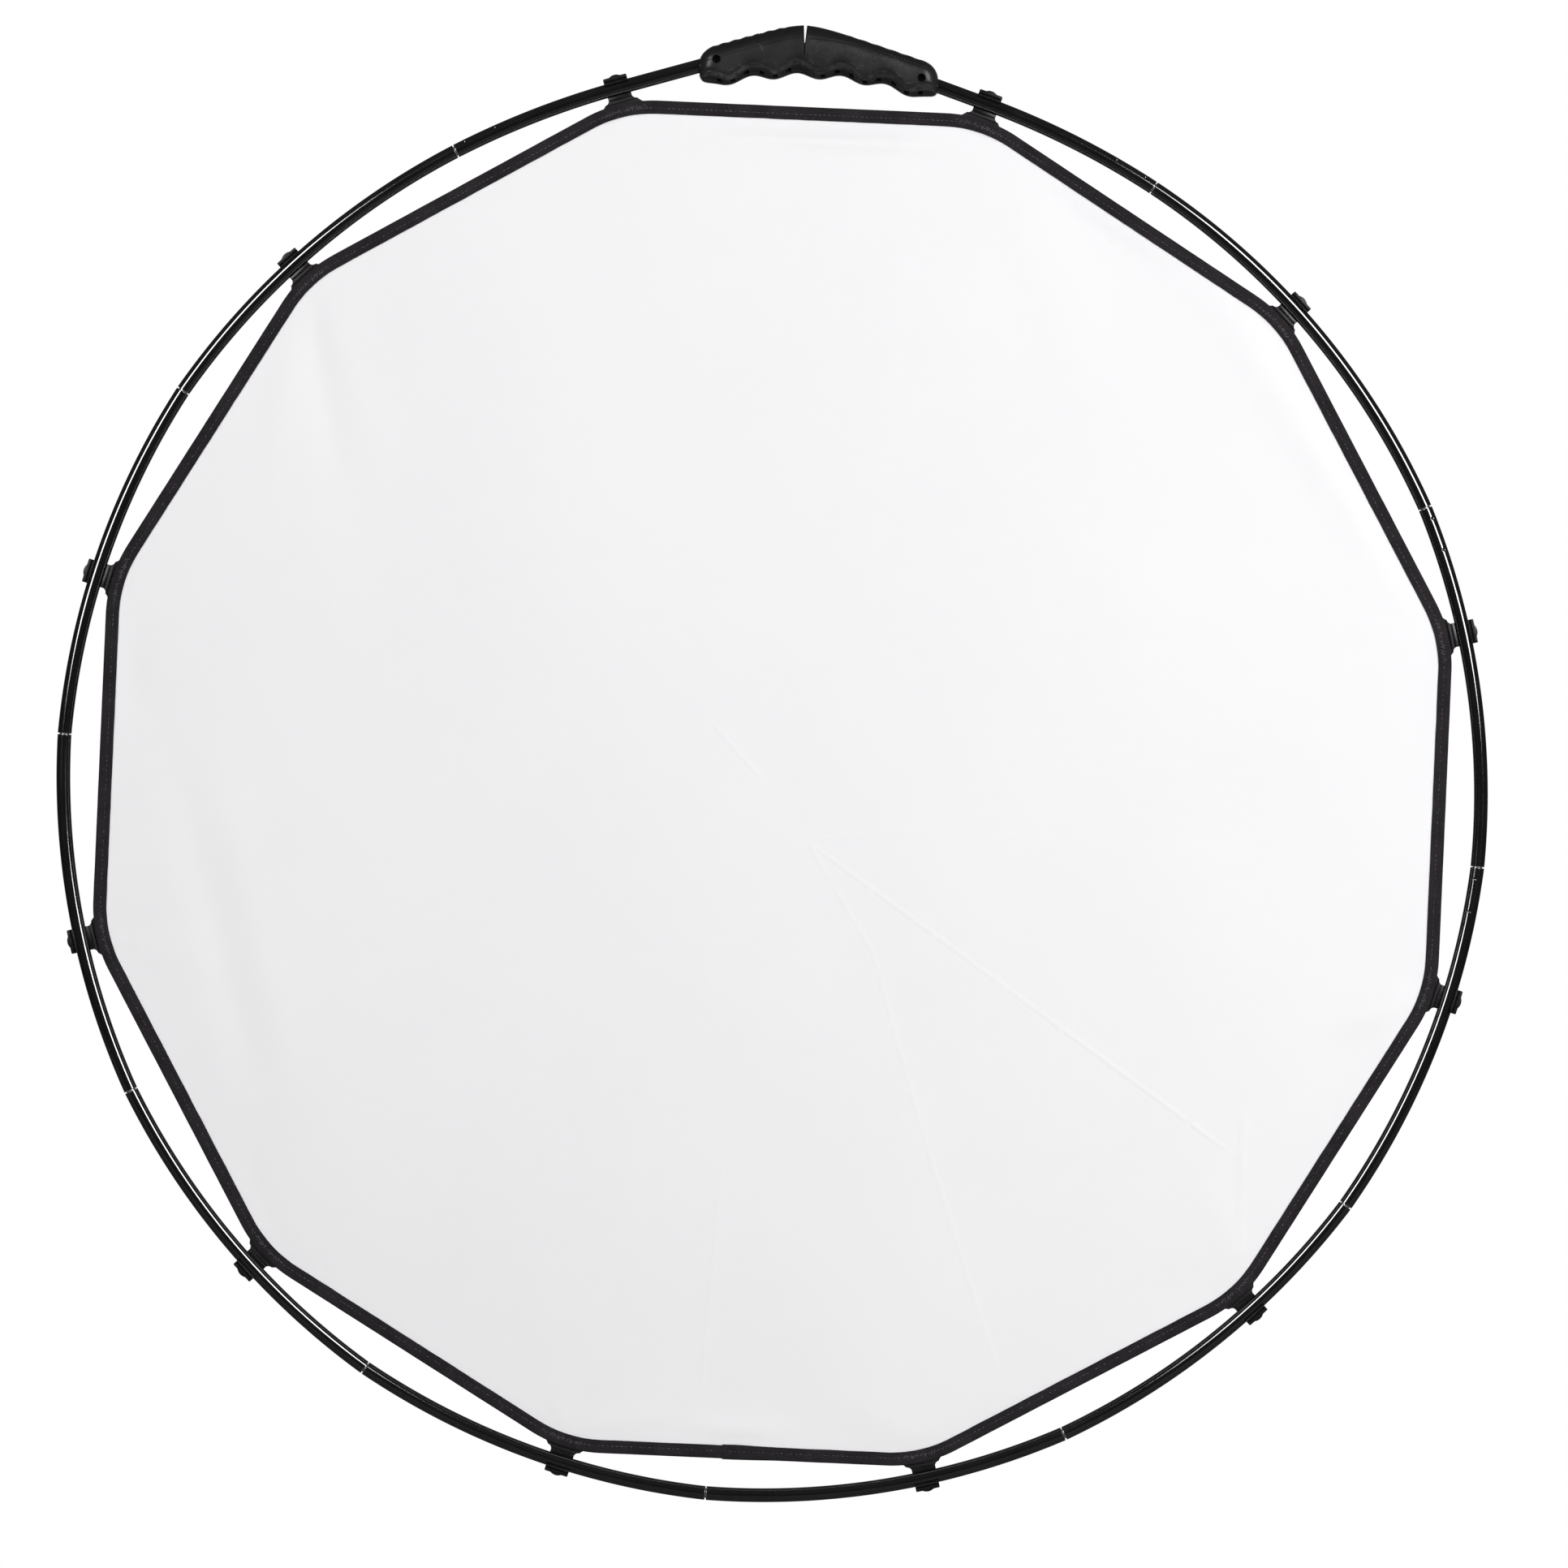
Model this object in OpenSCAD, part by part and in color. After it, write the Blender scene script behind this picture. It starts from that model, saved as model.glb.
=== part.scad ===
// Hand-held diffuser panel: a twelve-sided cover clipped inside a hoop of plugged tubes,
// which a two-part grip closes at the top.
//
// The parts are drawn flat: X to the right, Y up, Z towards the viewer, with the hoop's
// centre at the origin. stand() then sets the panel upright, with +Z up, its front to -Y
// and the origin at the middle of the grip.

/* [Hoop] */
// Outside diameter of the hoop over its tube joints
hoop_d = 821; // [740:1:1100]
// Outside diameter of the hoop tube
tube_d = 8; // [7:0.1:9]
// Wall of the hoop tube
tube_wall = 0.65; // [0.5:0.05:0.9]
// Angle from the grip to the first joint, clockwise
first_joint = 30; // [28:0.5:33]
// Angle from the grip to the last joint, anticlockwise
last_joint = 29; // [28:0.5:33]
// Kink that each joint leaves between two tubes, in degrees
kink = 2; // [1:0.1:3]
// Kink between an end tube and its neighbour, in degrees
end_kink = 0.4; // [0.2:0.05:1]
// Gap between two tube ends, on the tubes' centreline
joint_gap = 0.6; // [0.4:0.05:1]

/* [Ferrules] */
// How far a ferrule reaches into each of its two tubes
ferrule_reach = 34; // [25:1:40]
// Clearance between a ferrule and the bore of its tube, on the radius
ferrule_play = 0.5; // [0.45:0.01:0.6]
// Wall of a ferrule
ferrule_wall = 0.6; // [0.4:0.05:0.8]
// Diameter of the crimps that hold a ferrule in its tube
crimp_d = 1.8; // [1:0.1:2.5]
// Depth of a crimp
crimp_depth = 0.3; // [0.1:0.05:0.4]
// Distance from the joint to the nearer crimp
crimp_near = 7; // [5:0.5:10]
// Distance from the joint to the farther crimp
crimp_far = 26; // [20:0.5:30]

/* [Shock cord] */
// Diameter of the elastic cord inside the tubes
cord_d = 2; // [1.6:0.1:2.1]
// Straight tail of the cord behind the screw that it is hooked round
cord_tail = 8; // [5:0.5:12]

/* [Cover] */
// Distance from a tube's centreline to the cover's edge, at a clip
cover_inset = 9; // [8.6:0.1:12]
// Radius of the cover's corners
corner_r = 80; // [40:1:100]
// Thickness of the fabric
fabric_t = 0.3; // [0.2:0.05:0.5]
// Width of the binding tape
binding_w = 7.6; // [6:0.1:10]
// Thickness of one layer of the binding tape
tape_t = 0.55; // [0.4:0.05:0.8]
// Width of the edge that the tape makes outside the fabric
tape_fold = 1.2; // [0.8:0.1:2]

/* [Clips] */
// Length of a clip's jaw along its tube
clip_len = 13.8; // [10:0.2:18]
// Clearance between the jaw and its tube, on the radius
clip_play = 0.1; // [0.05:0.01:0.15]
// Wall of the jaw
jaw_wall = 1.9; // [1.4:0.1:2.4]
// How far the jaw's lip laps over the front of the tube
lip_lap = 1.7; // [1:0.1:2.2]
// Angle from the tube's middle to the front edge of the jaw's inner wall
inner_lip = 10; // [5:1:20]
// How far the finger tab stands out from the tube
tab_out = 2.5; // [2:0.1:3.5]
// Height of the round bump on the finger tab
bump_h = 1; // [0.5:0.1:1.5]
// Width of the bump on the finger tab
bump_w = 6.5; // [5:0.1:9]
// Width of the sewn plate, ear to ear
plate_w = 26.5; // [22:0.5:32]
// Thickness of the sewn plate
plate_t = 1.4; // [1:0.1:2]
// How far the plate shows past the cover's edge
plate_lip = 1.9; // [1.4:0.1:2.4]
// Radius of the hollow corners between the neck and the plate
neck_fillet = 3; // [2:0.1:3.4]
// Gap between the plate and the binding that it is sewn to
sewn_gap = 0.3; // [0.25:0.05:0.5]

/* [Grip] */
// Length of the left half, from the split to its end
grip_left = 59.5; // [56:0.5:70]
// Length of the right half, from the split to its end
grip_right = 77; // [70:0.5:84]
// Slope of the tubes where they leave the grip, in degrees
grip_slope = 17.7; // [16:0.1:19]
// Height above the hoop at which the two tubes' lines cross over the split
tube_rise = 23; // [21:0.2:24]
// Height of the grip's top above the hoop, at the split
grip_top = 29.7; // [28:0.1:33]
// Slope of the left half's top, in degrees
left_slope = 18.6; // [17:0.1:19]
// Slope of the right half's top, in degrees
right_slope = 16.7; // [15:0.1:17]
// Length over which the peak of the grip is rounded
peak_round = 12; // [8:0.5:16]
// Height of the finger bumps above the hoop, at the middle of the grip
grip_under = -0.7; // [-3:0.1:0]
// How much lower the bumps lie 55 mm out from the middle
under_sag = 7.3; // [6:0.1:9]
// Distance between two finger grooves
finger_pitch = 25.5; // [23:0.1:27]
// Depth of a finger groove
finger_depth = 3.2; // [2:0.1:4]
// Thickness of the grip, front to back, at the split
grip_depth = 24.5; // [22:0.5:28]
// Thickness of the grip, front to back, at its ends
end_depth = 21; // [19:0.5:24]
// Length over which the ends of the grip are rounded
end_round = 9; // [6:0.5:12]
// Gap between the two halves at the split
split_gap = 0.2; // [0.1:0.05:0.3]
// Depth of the notch in the top of the split
notch_depth = 7; // [4:0.5:10]
// Width of the notch at the top
notch_w = 1.9; // [1:0.1:3]

/* [Grip inside] */
// How far the end tubes reach into the grip
tube_in_grip = 34; // [30:0.5:38]
// Distance from the grip's end to its screw, along the tube
screw_in = 10; // [8.5:0.1:12]
// Diameter of the screw's shank
screw_d = 2.5; // [2:0.1:2.6]
// Diameter of the screw's head
screw_head_d = 4.3; // [4:0.1:5]
// Thickness of the screw's head
screw_head_t = 1.6; // [1:0.1:2]
// Diameter of the recess over the screw
recess_d = 4.8; // [4.6:0.1:5.6]
// Distance from the grip's middle plane to the floor of the recess
recess_floor = 6.6; // [6:0.1:7]
// Length of the screw's shank
screw_len = 13; // [12:0.5:14]
// Thickness of the tongue that joins the halves
tongue_t = 5; // [4:0.1:6]
// Height of the tongue
tongue_h = 12; // [8:0.5:12]
// Height of the tongue's middle above the hoop
tongue_rise = 12.4; // [12:0.1:13]
// How far the tongue reaches into the left half
tongue_reach = 11; // [8:0.5:12]
// Length of the tongue that is held in the right half
tongue_root = 20; // [15:0.5:24]
// Length of the head that keys the tongue into the right half
tongue_key = 6; // [4:0.5:8]
// How far that head stands past the tongue, above and below
key_step = 1.6; // [1:0.1:2]
// Clearance round the tongue in the left half
tongue_play = 0.5; // [0.4:0.05:0.6]
// Clearance of the pieces that the shells hold
seat_play = 0.05; // [0.02:0.01:0.1]

/* [Hidden] */
$fn = 64;
tubes = 12;
tube_r = tube_d / 2;
bore_r = tube_r - tube_wall;
hoop_r = hoop_d / 2 - tube_r;
ferrule_r = bore_r - ferrule_play;
step = 360 / tubes;
hold_y = hoop_r + 14;

function pad(k) = str(k < 10 ? "0" : "", k);
function names(base, count) = [for (k = [1 : count]) str(base, pad(k))];

black_tube = [0.09, 0.085, 0.09];
bright_alloy = [0.72, 0.73, 0.75];
clip_black = [0.17, 0.17, 0.17];
grip_black = [0.21, 0.2, 0.22];
tape_black = [0.18, 0.17, 0.19];
white_cloth = [0.96, 0.96, 0.97];
dark_cord = [0.12, 0.12, 0.13];
screw_steel = [0.25, 0.25, 0.26];

// ---- plane geometry; angles run clockwise from the top ----

function dir(a) = [sin(a), cos(a)];
function along(a) = [cos(a), -sin(a)];
function deg(x) = x * 180 / PI;
function heading_of(v) = atan2(v[0], v[1]);
function unit(v) = v / norm(v);

// ---- the hoop's tubes ----

// The tube after the first joint is longer by a ferrule's reach, as it takes two of them.
long_extra = deg(ferrule_reach / hoop_r);
short_span = (360 - first_joint - last_joint - long_extra) / (tubes - 2);

function joint_at(j) =
    j == 1 ? first_joint :
    j == tubes - 1 ? 360 - last_joint :
    first_joint + long_extra + (j - 1) * short_span;

function half_span(k) = (joint_at(k) - joint_at(k - 1)) / 2;
function mid_at(k) = (joint_at(k) + joint_at(k - 1)) / 2;
function own_half(k) = half_span(k) - kink / 2;
function bend_r(k) = hoop_r * sin(half_span(k)) / sin(own_half(k));
function bend_offset(k) = hoop_r * cos(half_span(k)) - bend_r(k) * cos(own_half(k));
function bend_centre(k) = bend_offset(k) * dir(mid_at(k));

// Point of a bent tube's centreline that lies at an angle seen from the hoop's centre
function tube_point(k, a) =
    let (c = bend_offset(k), t = a - mid_at(k))
    (c * cos(t) + sqrt(pow(bend_r(k), 2) - pow(c * sin(t), 2))) * dir(a);

// The two end tubes run straight out of the grip, then bend to their joint. Both are drawn
// as if on the right, and the left one is mirrored.
function end_joint(side) = side > 0 ? first_joint : last_joint;
function end_length(side) = side > 0 ? grip_right : grip_left;
function end_slope(side) = side > 0 ? right_slope : left_slope;
slope_tan = tan(grip_slope);
slope_cos = cos(grip_slope);
run_dir = along(grip_slope);
run_normal = dir(grip_slope);
run_start = [0, hoop_r + tube_rise];

function tube_line(x) = run_start[1] - slope_tan * x;
function end_heading(side) = end_joint(side) + kink / 2 - end_kink;
function end_turn(side) = end_heading(side) - grip_slope;
function end_chord(side) = hoop_r * dir(end_joint(side)) - run_start;
function end_bend(side) = -(end_chord(side) * run_normal) / (1 - cos(end_turn(side)));
function run_to(side) = end_chord(side) * run_dir - end_bend(side) * sin(end_turn(side));
function run_end(side) = run_start + run_to(side) * run_dir;
function end_centre(side) = run_end(side) - end_bend(side) * run_normal;
function run_len(side) = run_to(side) - end_length(side) / slope_cos;

// Heading of the hoop's line through a joint, halfway between its two tubes
function joint_heading(j) =
    j == 1 ? end_heading(1) + end_kink / 2 :
    j == tubes - 1 ? -end_heading(-1) - end_kink / 2 :
    joint_at(j);

module arc_rod(centre, radius, from, to, r) {
    translate(centre)
        rotate([0, 0, 90 - to])
            rotate_extrude(angle = to - from)
                translate([radius, 0])
                    circle(r);
}

// A rod in the drawing plane, from point a to point b
module rod(a, b, r) {
    turn = atan2(b[1] - a[1], b[0] - a[0]);
    translate(a)
        rotate([0, 0, turn])
            rotate([0, 90, 0])
                cylinder(r = r, h = norm(b - a));
}

module bent_tube(k) {
    half = own_half(k) - deg(joint_gap / 2 / bend_r(k));
    extra = 0.5;
    difference() {
        arc_rod(bend_centre(k), bend_r(k), mid_at(k) - half, mid_at(k) + half, tube_r);
        arc_rod(bend_centre(k), bend_r(k), mid_at(k) - half - extra, mid_at(k) + half + extra, bore_r);
        if (k > 2)
            crimps(bend_centre(k), bend_r(k), mid_at(k) - own_half(k), 1);
    }
}

// Crimps on the front of a tube, at their distances from a joint
module crimps(centre, radius, joint, way) {
    for (s = [crimp_near, crimp_far])
        translate(centre + radius * dir(joint + way * deg(s / radius)))
            translate([0, 0, tube_r - crimp_depth])
                cylinder(d = crimp_d, h = 2 * crimp_depth);
}

// An end tube's straight run and bend, drawn on the right from the end of the run, with X
// along it: side is 1 for the right tube and -1 for the left one
module end_rod(side, r, back, slack) {
    rotate([0, -90, 0])
        cylinder(r = r, h = back);
    translate([0, -end_bend(side)])
        mirror([1, 0, 0])
            rotate([0, 0, 90])
                rotate_extrude(angle = end_turn(side) - deg((joint_gap / 2 - slack) / end_bend(side)))
                    translate([end_bend(side), 0])
                        circle(r);
}

module end_tube(side) {
    slack = 2;
    back = run_len(side) + tube_in_grip;
    difference() {
        translate(run_end(side))
            rotate([0, 0, -grip_slope])
                difference() {
                    end_rod(side, tube_r, back, 0);
                    end_rod(side, bore_r, back + slack, slack);
                    translate([-run_len(side) - screw_in, 0, -tube_d])
                        cylinder(r = screw_d / 2 + 2 * seat_play, h = 2 * tube_d);
                }
        crimps(end_centre(side), end_bend(side), end_heading(side), -1);
    }
}

module hoop_tube(k) {
    color(black_tube)
        stand()
            if (k == 1)
                end_tube(1);
            else if (k == tubes)
                mirror([1, 0, 0])
                    end_tube(-1);
            else
                bent_tube(k);
}

// ---- ferrules ----

// A ferrule bends so that it lies midway between its tube's two positions: the joint at
// rest, and the joint when the open hoop has straightened it by half its kink.
ferrule_bow = ferrule_reach * sin(kink / 4) + pow(ferrule_reach, 2) / (2 * bend_r(tubes / 2));
ferrule_bend = pow(ferrule_reach, 2) / (2 * ferrule_bow);

module ferrule(j) {
    a = joint_heading(j);
    half = deg(ferrule_reach / ferrule_bend);
    centre = hoop_r * dir(joint_at(j)) - ferrule_bend * dir(a);
    color(bright_alloy)
        stand()
            difference() {
                arc_rod(centre, ferrule_bend, a - half, a + half, ferrule_r);
                arc_rod(centre, ferrule_bend, a - half - 1, a + half + 1, ferrule_r - ferrule_wall);
            }
}

// ---- shock cord ----

cord_hook = screw_d / 2 + cord_d / 2 + 2 * seat_play;
cord_shift = 16;
hook_steps = 8;
arc_steps = 3;
shift_steps = 3;
ring_steps = 52;

// The cord's route at one end, drawn on the right, from its tail to the first joint
function end_route(side) =
    let (start = [end_length(side), tube_line(end_length(side))],
         screw = start - screw_in * run_dir,
         tail = [for (s = [cord_tail, 1]) screw + s * run_dir - cord_hook * run_normal],
         hook = [for (i = [0 : hook_steps])
             screw - cord_hook * (cos(180 * i / hook_steps) * run_normal
                                  + sin(180 * i / hook_steps) * run_dir)],
         back = [for (i = [1 : shift_steps])
             let (s = i / shift_steps)
             screw + s * cord_shift * run_dir + cord_hook * (1 + cos(180 * s)) / 2 * run_normal],
         bend = [for (i = [0 : arc_steps - 1])
             end_centre(side) + end_bend(side) * dir(grip_slope + end_turn(side) * i / arc_steps)])
    concat(tail, hook, back, bend);

function mirrored(points) = [for (i = [len(points) - 1 : -1 : 0]) [-points[i][0], points[i][1]]];

function ring_route() =
    [for (i = [0 : ring_steps])
        let (a = joint_at(1) + (joint_at(tubes - 1) - joint_at(1)) * i / ring_steps)
        (hoop_r - 0.5) * dir(a)];

// A tube of eight sides swept along points of the drawing plane
module sweep(points, r, sides = 8) {
    last = len(points) - 1;
    function side_of(i) =
        let (d = unit(points[min(i + 1, last)] - points[max(i - 1, 0)]))
        [-d[1], d[0]];
    rings = [for (i = [0 : last]) for (s = [0 : sides - 1])
        let (n = side_of(i), c = r * cos(360 * s / sides), h = r * sin(360 * s / sides))
        [points[i][0] + c * n[0], points[i][1] + c * n[1], h]];
    walls = [for (i = [0 : last - 1]) for (s = [0 : sides - 1])
        let (t = (s + 1) % sides, a = i * sides, b = a + sides)
        each [[a + s, b + s, a + t], [a + t, b + s, b + t]]];
    caps = [[for (s = [0 : sides - 1]) s], [for (s = [sides - 1 : -1 : 0]) last * sides + s]];
    polyhedron(rings, concat(walls, caps));
}

module shock_cord() {
    color(dark_cord)
        stand()
            sweep(concat(end_route(1), ring_route(), mirrored(end_route(-1))), cord_d / 2);
}

// ---- clips ----

// The tube's centreline where clip k sits, and the heading of the tube's outward side there
function clip_angle(k) = (k - 0.5) * step;
function line_point(a) = run_start[1] * slope_cos / cos(a - grip_slope) * dir(a);
function end_arc_point(side, a) =
    let (c = end_centre(side), t = c * dir(a))
    (t + sqrt(pow(end_bend(side), 2) - c * c + t * t)) * dir(a);
function on_run(side, a) = (line_point(a) - run_start) * run_dir < run_to(side);

// The same for an end tube, drawn on the right
function end_clip_point(side) =
    on_run(side, clip_angle(1)) ? line_point(clip_angle(1)) : end_arc_point(side, clip_angle(1));
function end_clip_heading(side) =
    on_run(side, clip_angle(1)) ? grip_slope : heading_of(end_clip_point(side) - end_centre(side));

function clip_point(k) =
    k == 1 ? end_clip_point(1) :
    k == tubes ? [-end_clip_point(-1)[0], end_clip_point(-1)[1]] :
    tube_point(k, clip_angle(k));
function clip_heading(k) =
    k == 1 ? end_clip_heading(1) :
    k == tubes ? -end_clip_heading(-1) :
    heading_of(clip_point(k) - bend_centre(k));

jaw_r = tube_r + clip_play;
jaw_out = jaw_r + jaw_wall;
lip_angle = acos((tube_r - lip_lap) / jaw_r);
lip_z = jaw_r * sin(lip_angle) + jaw_wall / 2;
cover_half_t = fabric_t / 2 + tape_t;
plate_top = -cover_half_t - sewn_gap;
plate_low = plate_top - plate_t;
neck_end = cover_inset - 0.5;
plate_out = corner_r + plate_lip;
plate_in = corner_r - binding_w + 0.4;
plate_half = deg(plate_w / 2 / plate_out);

// Section of the jaw across the tube, drawn with the cover's side to -X and the front to +Y
module jaw_section() {
    wide = 2 * jaw_out;
    from = lip_angle;
    to = 180 - inner_lip;
    difference() {
        circle(jaw_out);
        circle(jaw_r);
        polygon(concat([[0, 0]], [for (i = [0 : 4])
            let (a = from + (to - from) * i / 4)
            wide * [cos(a), sin(a)]]));
    }
}

module tab_section() {
    bump_r = (pow(bump_w / 2, 2) + pow(bump_h, 2)) / (2 * bump_h);
    out = tube_r + tab_out;
    translate([-clip_len / 2, jaw_r + 0.4])
        square([clip_len, out - jaw_r - 0.4]);
    intersection() {
        translate([0, out + bump_h - bump_r])
            circle(bump_r);
        translate([-clip_len / 2, out - 0.2])
            square([clip_len, 2 * bump_h]);
    }
}

module plate_section() {
    ear_r = plate_lip * 0.9;
    ear_drop = 0.15;
    tilt = plate_half - deg(ear_r / plate_out);
    wide = 2 * corner_r;
    translate([0, -cover_inset - corner_r]) {
        intersection() {
            difference() {
                circle(plate_out, $fn = 256);
                circle(plate_in, $fn = 256);
            }
            polygon([[0, 0], wide * dir(-tilt), wide * dir(tilt)]);
        }
        for (s = [-1, 1])
            translate((plate_out - ear_r - ear_drop) * dir(s * tilt))
                circle(ear_r);
    }
}

// Neck between the jaw and the plate, a little narrower than the jaw: its hollow corners run
// a little way into the plate
module neck_section() {
    half = clip_len / 2 - 0.15;
    top = jaw_r + 0.5;
    run_in = 0.3;
    shoulder = cover_inset + corner_r - sqrt(pow(plate_out, 2) - pow(half + neck_fillet, 2)) + run_in;
    difference() {
        translate([-half - neck_fillet, -shoulder - run_in])
            square([2 * (half + neck_fillet), shoulder + run_in - top]);
        for (s = [-1, 1])
            translate([s * (half + neck_fillet), -shoulder + neck_fillet])
                circle(neck_fillet);
        translate([-plate_w, -neck_end - corner_r])
            square([2 * plate_w, corner_r]);
    }
}

module clip() {
    // jaw round the tube, and the finger tab on its outer side
    rotate([90, 0, 90])
        linear_extrude(clip_len, center = true)
            jaw_section();
    translate([0, 0, -2])
        linear_extrude(lip_z + 2)
            tab_section();
    translate([0, 0, plate_low])
        linear_extrude(-plate_low)
            neck_section();
    translate([0, 0, plate_low])
        linear_extrude(plate_t)
            plate_section();
}

module cover_clip(k) {
    color(clip_black)
        stand()
            translate(clip_point(k))
                rotate([0, 0, -clip_heading(k)])
                    clip();
}

// ---- cover ----

// Sharp corners of the cover, drawn in by a distance from the edge
corner_sharp = corner_r * (1 / cos(step / 2) - 1);
function cover_corners(in) =
    [for (k = [1 : tubes])
        (norm(clip_point(k)) - cover_inset + corner_sharp - in / cos(step / 2)) * dir(clip_angle(k))];

// A clockwise polygon whose corners are rounded to a radius
function rounded(points, r, steps = 6) =
    let (count = len(points))
    [for (i = [0 : count - 1])
        let (p = points[i],
             u = unit(points[(i + count - 1) % count] - p),
             v = unit(points[(i + 1) % count] - p),
             half = acos(u * v) / 2,
             centre = p + r / sin(half) * unit(u + v),
             first = heading_of(p + r / tan(half) * u - centre),
             turn = 180 - 2 * half)
        for (s = [0 : steps])
            centre + r * dir(first + turn * s / steps)];

module cover_shape(in) {
    polygon(rounded(cover_corners(in), corner_r - in));
}

module cover_fabric() {
    color(white_cloth)
        stand()
            linear_extrude(fabric_t, center = true)
                cover_shape(tape_fold);
}

module cover_binding() {
    color(tape_black)
        stand()
            difference() {
                linear_extrude(2 * cover_half_t, center = true)
                    cover_shape(0);
                linear_extrude(4 * cover_half_t, center = true)
                    cover_shape(binding_w);
                linear_extrude(fabric_t, center = true)
                    cover_shape(tape_fold);
            }
}

// ---- grip ----

finger_zero = 9;
under_mid = 5;
under_reach = 55;

function peak(x) = sqrt(x * x + peak_round * peak_round) - peak_round;
function grip_upper(side, x) = hoop_r + grip_top - tan(end_slope(side)) * peak(x);
function grip_lower(side, x) =
    let (u = side * x)
    hoop_r + grip_under - under_sag * pow((u - under_mid) / under_reach, 2)
        + finger_depth * (1 - cos(360 * (u - finger_zero) / finger_pitch)) / 2;

// How full the section is: 1 along the half, falling to its rounded end
round_power = 2.4;
round_stop = 0.93;
function end_share(side, x) = max(0, (x - end_length(side) + end_round) / end_round);
function fullness(t) = pow(1 - pow(round_stop * t, round_power), 1 / round_power);

// Upper half of a squared oval: 0 is the front's middle plane below, 180 the one above
section_power = 2 / 2.5;
function bulge(v) = sign(v) * pow(abs(v), section_power);

section_steps = 14;
body_steps = 20;
end_steps = 6;

function stations(side) =
    concat(
        [for (i = [0 : body_steps - 1])
            split_gap / 2 + (end_length(side) - end_round - split_gap / 2) * i / body_steps],
        [for (i = [0 : end_steps])
            end_length(side) - end_round + end_round * sin(90 * i / end_steps)]);

function section(side, x) =
    let (t = end_share(side, x),
         f = fullness(t),
         up = grip_upper(side, x),
         low = grip_lower(side, x),
         mid = (up + low) / 2 * (1 - t) + tube_line(x) * t,
         depth = f * (grip_depth + (end_depth - grip_depth) * x / end_length(side)) / 2)
    [for (i = [0 : section_steps])
        let (a = 180 * i / section_steps - 90,
             reach = sin(a) < 0 ? mid - low : up - mid)
        [x, mid + f * reach * bulge(sin(a)), depth * bulge(cos(a))]];

// Front shell of one half before its pockets are cut, drawn on the right
module shell_body(side) {
    xs = stations(side);
    last = len(xs) - 1;
    row = section_steps + 1;
    points = [for (x = xs) each section(side, x)];
    walls = [for (i = [0 : last - 1]) for (s = [0 : section_steps])
        let (t = (s + 1) % row, a = i * row, b = a + row)
        each [[a + s, a + t, b + s], [a + t, b + t, b + s]]];
    caps = [[for (s = [section_steps : -1 : 0]) s], [for (s = [0 : section_steps]) last * row + s]];
    polyhedron(points, concat(walls, caps));
}

module notch() {
    top = hoop_r + grip_top;
    translate([0, 0, -grip_depth])
        linear_extrude(2 * grip_depth)
            polygon([[0, top - notch_depth], [notch_w * 0.6, top + notch_depth * 0.2],
                     [-notch_w * 0.6, top + notch_depth * 0.2]]);
}

// What is cut out of both shells of a half for its tube
module tube_seat(side) {
    start = [end_length(side), tube_line(end_length(side))];
    rod(start - (tube_in_grip + seat_play) * run_dir, start + end_round * run_dir, tube_r + seat_play);
}

module screw_seat(side, front) {
    start = [end_length(side), tube_line(end_length(side))];
    at = start - screw_in * run_dir;
    translate(at) {
        translate([0, 0, recess_floor - screw_len - seat_play])
            cylinder(r = screw_d / 2 + seat_play, h = screw_len + 1);
        if (front)
            translate([0, 0, recess_floor])
                cylinder(d = recess_d, h = grip_depth);
    }
}

// The tongue from the side: its blade into the left half, and its head in the right one
module tongue_side(play, reach_play) {
    y = hoop_r + tongue_rise;
    h = tongue_h + 2 * play;
    translate([-tongue_reach - reach_play, y - h / 2])
        square([tongue_reach + reach_play + tongue_root, h]);
    translate([tongue_root - tongue_key - play, y - h / 2 - key_step])
        square([tongue_key + 2 * play, h + 2 * key_step]);
}

module tongue_solid(play, reach_play) {
    linear_extrude(tongue_t + 2 * play, center = true)
        tongue_side(play, reach_play);
}

// One shell: side is 1 for the right half and -1 for the left one, drawn in its place
module grip_shell(side, front) {
    color(grip_black)
        stand()
            difference() {
                mirror([side > 0 ? 0 : 1, 0, 0])
                    difference() {
                        mirror([0, 0, front ? 0 : 1])
                            shell_body(side);
                        tube_seat(side);
                        screw_seat(side, front);
                    }
                notch();
                if (side > 0)
                    tongue_solid(seat_play, 0);
                else
                    tongue_solid(tongue_play, tongue_play);
            }
}

module grip_tongue() {
    color(grip_black)
        stand()
            tongue_solid(0, 0);
}

module grip_screw(side) {
    slot_w = 0.8;
    start = [end_length(side), tube_line(end_length(side))];
    at = start - screw_in * run_dir;
    color(screw_steel)
        stand()
            translate([side * at[0], at[1], recess_floor])
                difference() {
                    union() {
                        translate([0, 0, -screw_len])
                            cylinder(d = screw_d, h = screw_len + screw_head_t / 2);
                        cylinder(d = screw_head_d, h = screw_head_t);
                    }
                    for (turn = [0, 90])
                        rotate([0, 0, turn])
                            translate([-screw_head_d / 3, -slot_w / 2, screw_head_t / 3])
                                cube([screw_head_d * 2 / 3, slot_w, screw_head_t]);
                }
}

// ---- upright, with the origin at the middle of the grip ----

module stand() {
    translate([0, 0, -hold_y])
        rotate([90, 0, 0])
            children();
}

for (k = [1 : tubes])
    hoop_tube(k);
for (j = [1 : tubes - 1])
    ferrule(j);
for (k = [1 : tubes])
    cover_clip(k);
cover_fabric();
cover_binding();
shock_cord();
grip_shell(-1, true);  // grip_left_front
grip_shell(-1, false);  // grip_left_back
grip_shell(1, true);  // grip_right_front
grip_shell(1, false);  // grip_right_back
grip_tongue();
grip_screw(-1);  // grip_screw_left
grip_screw(1);  // grip_screw_right
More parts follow.
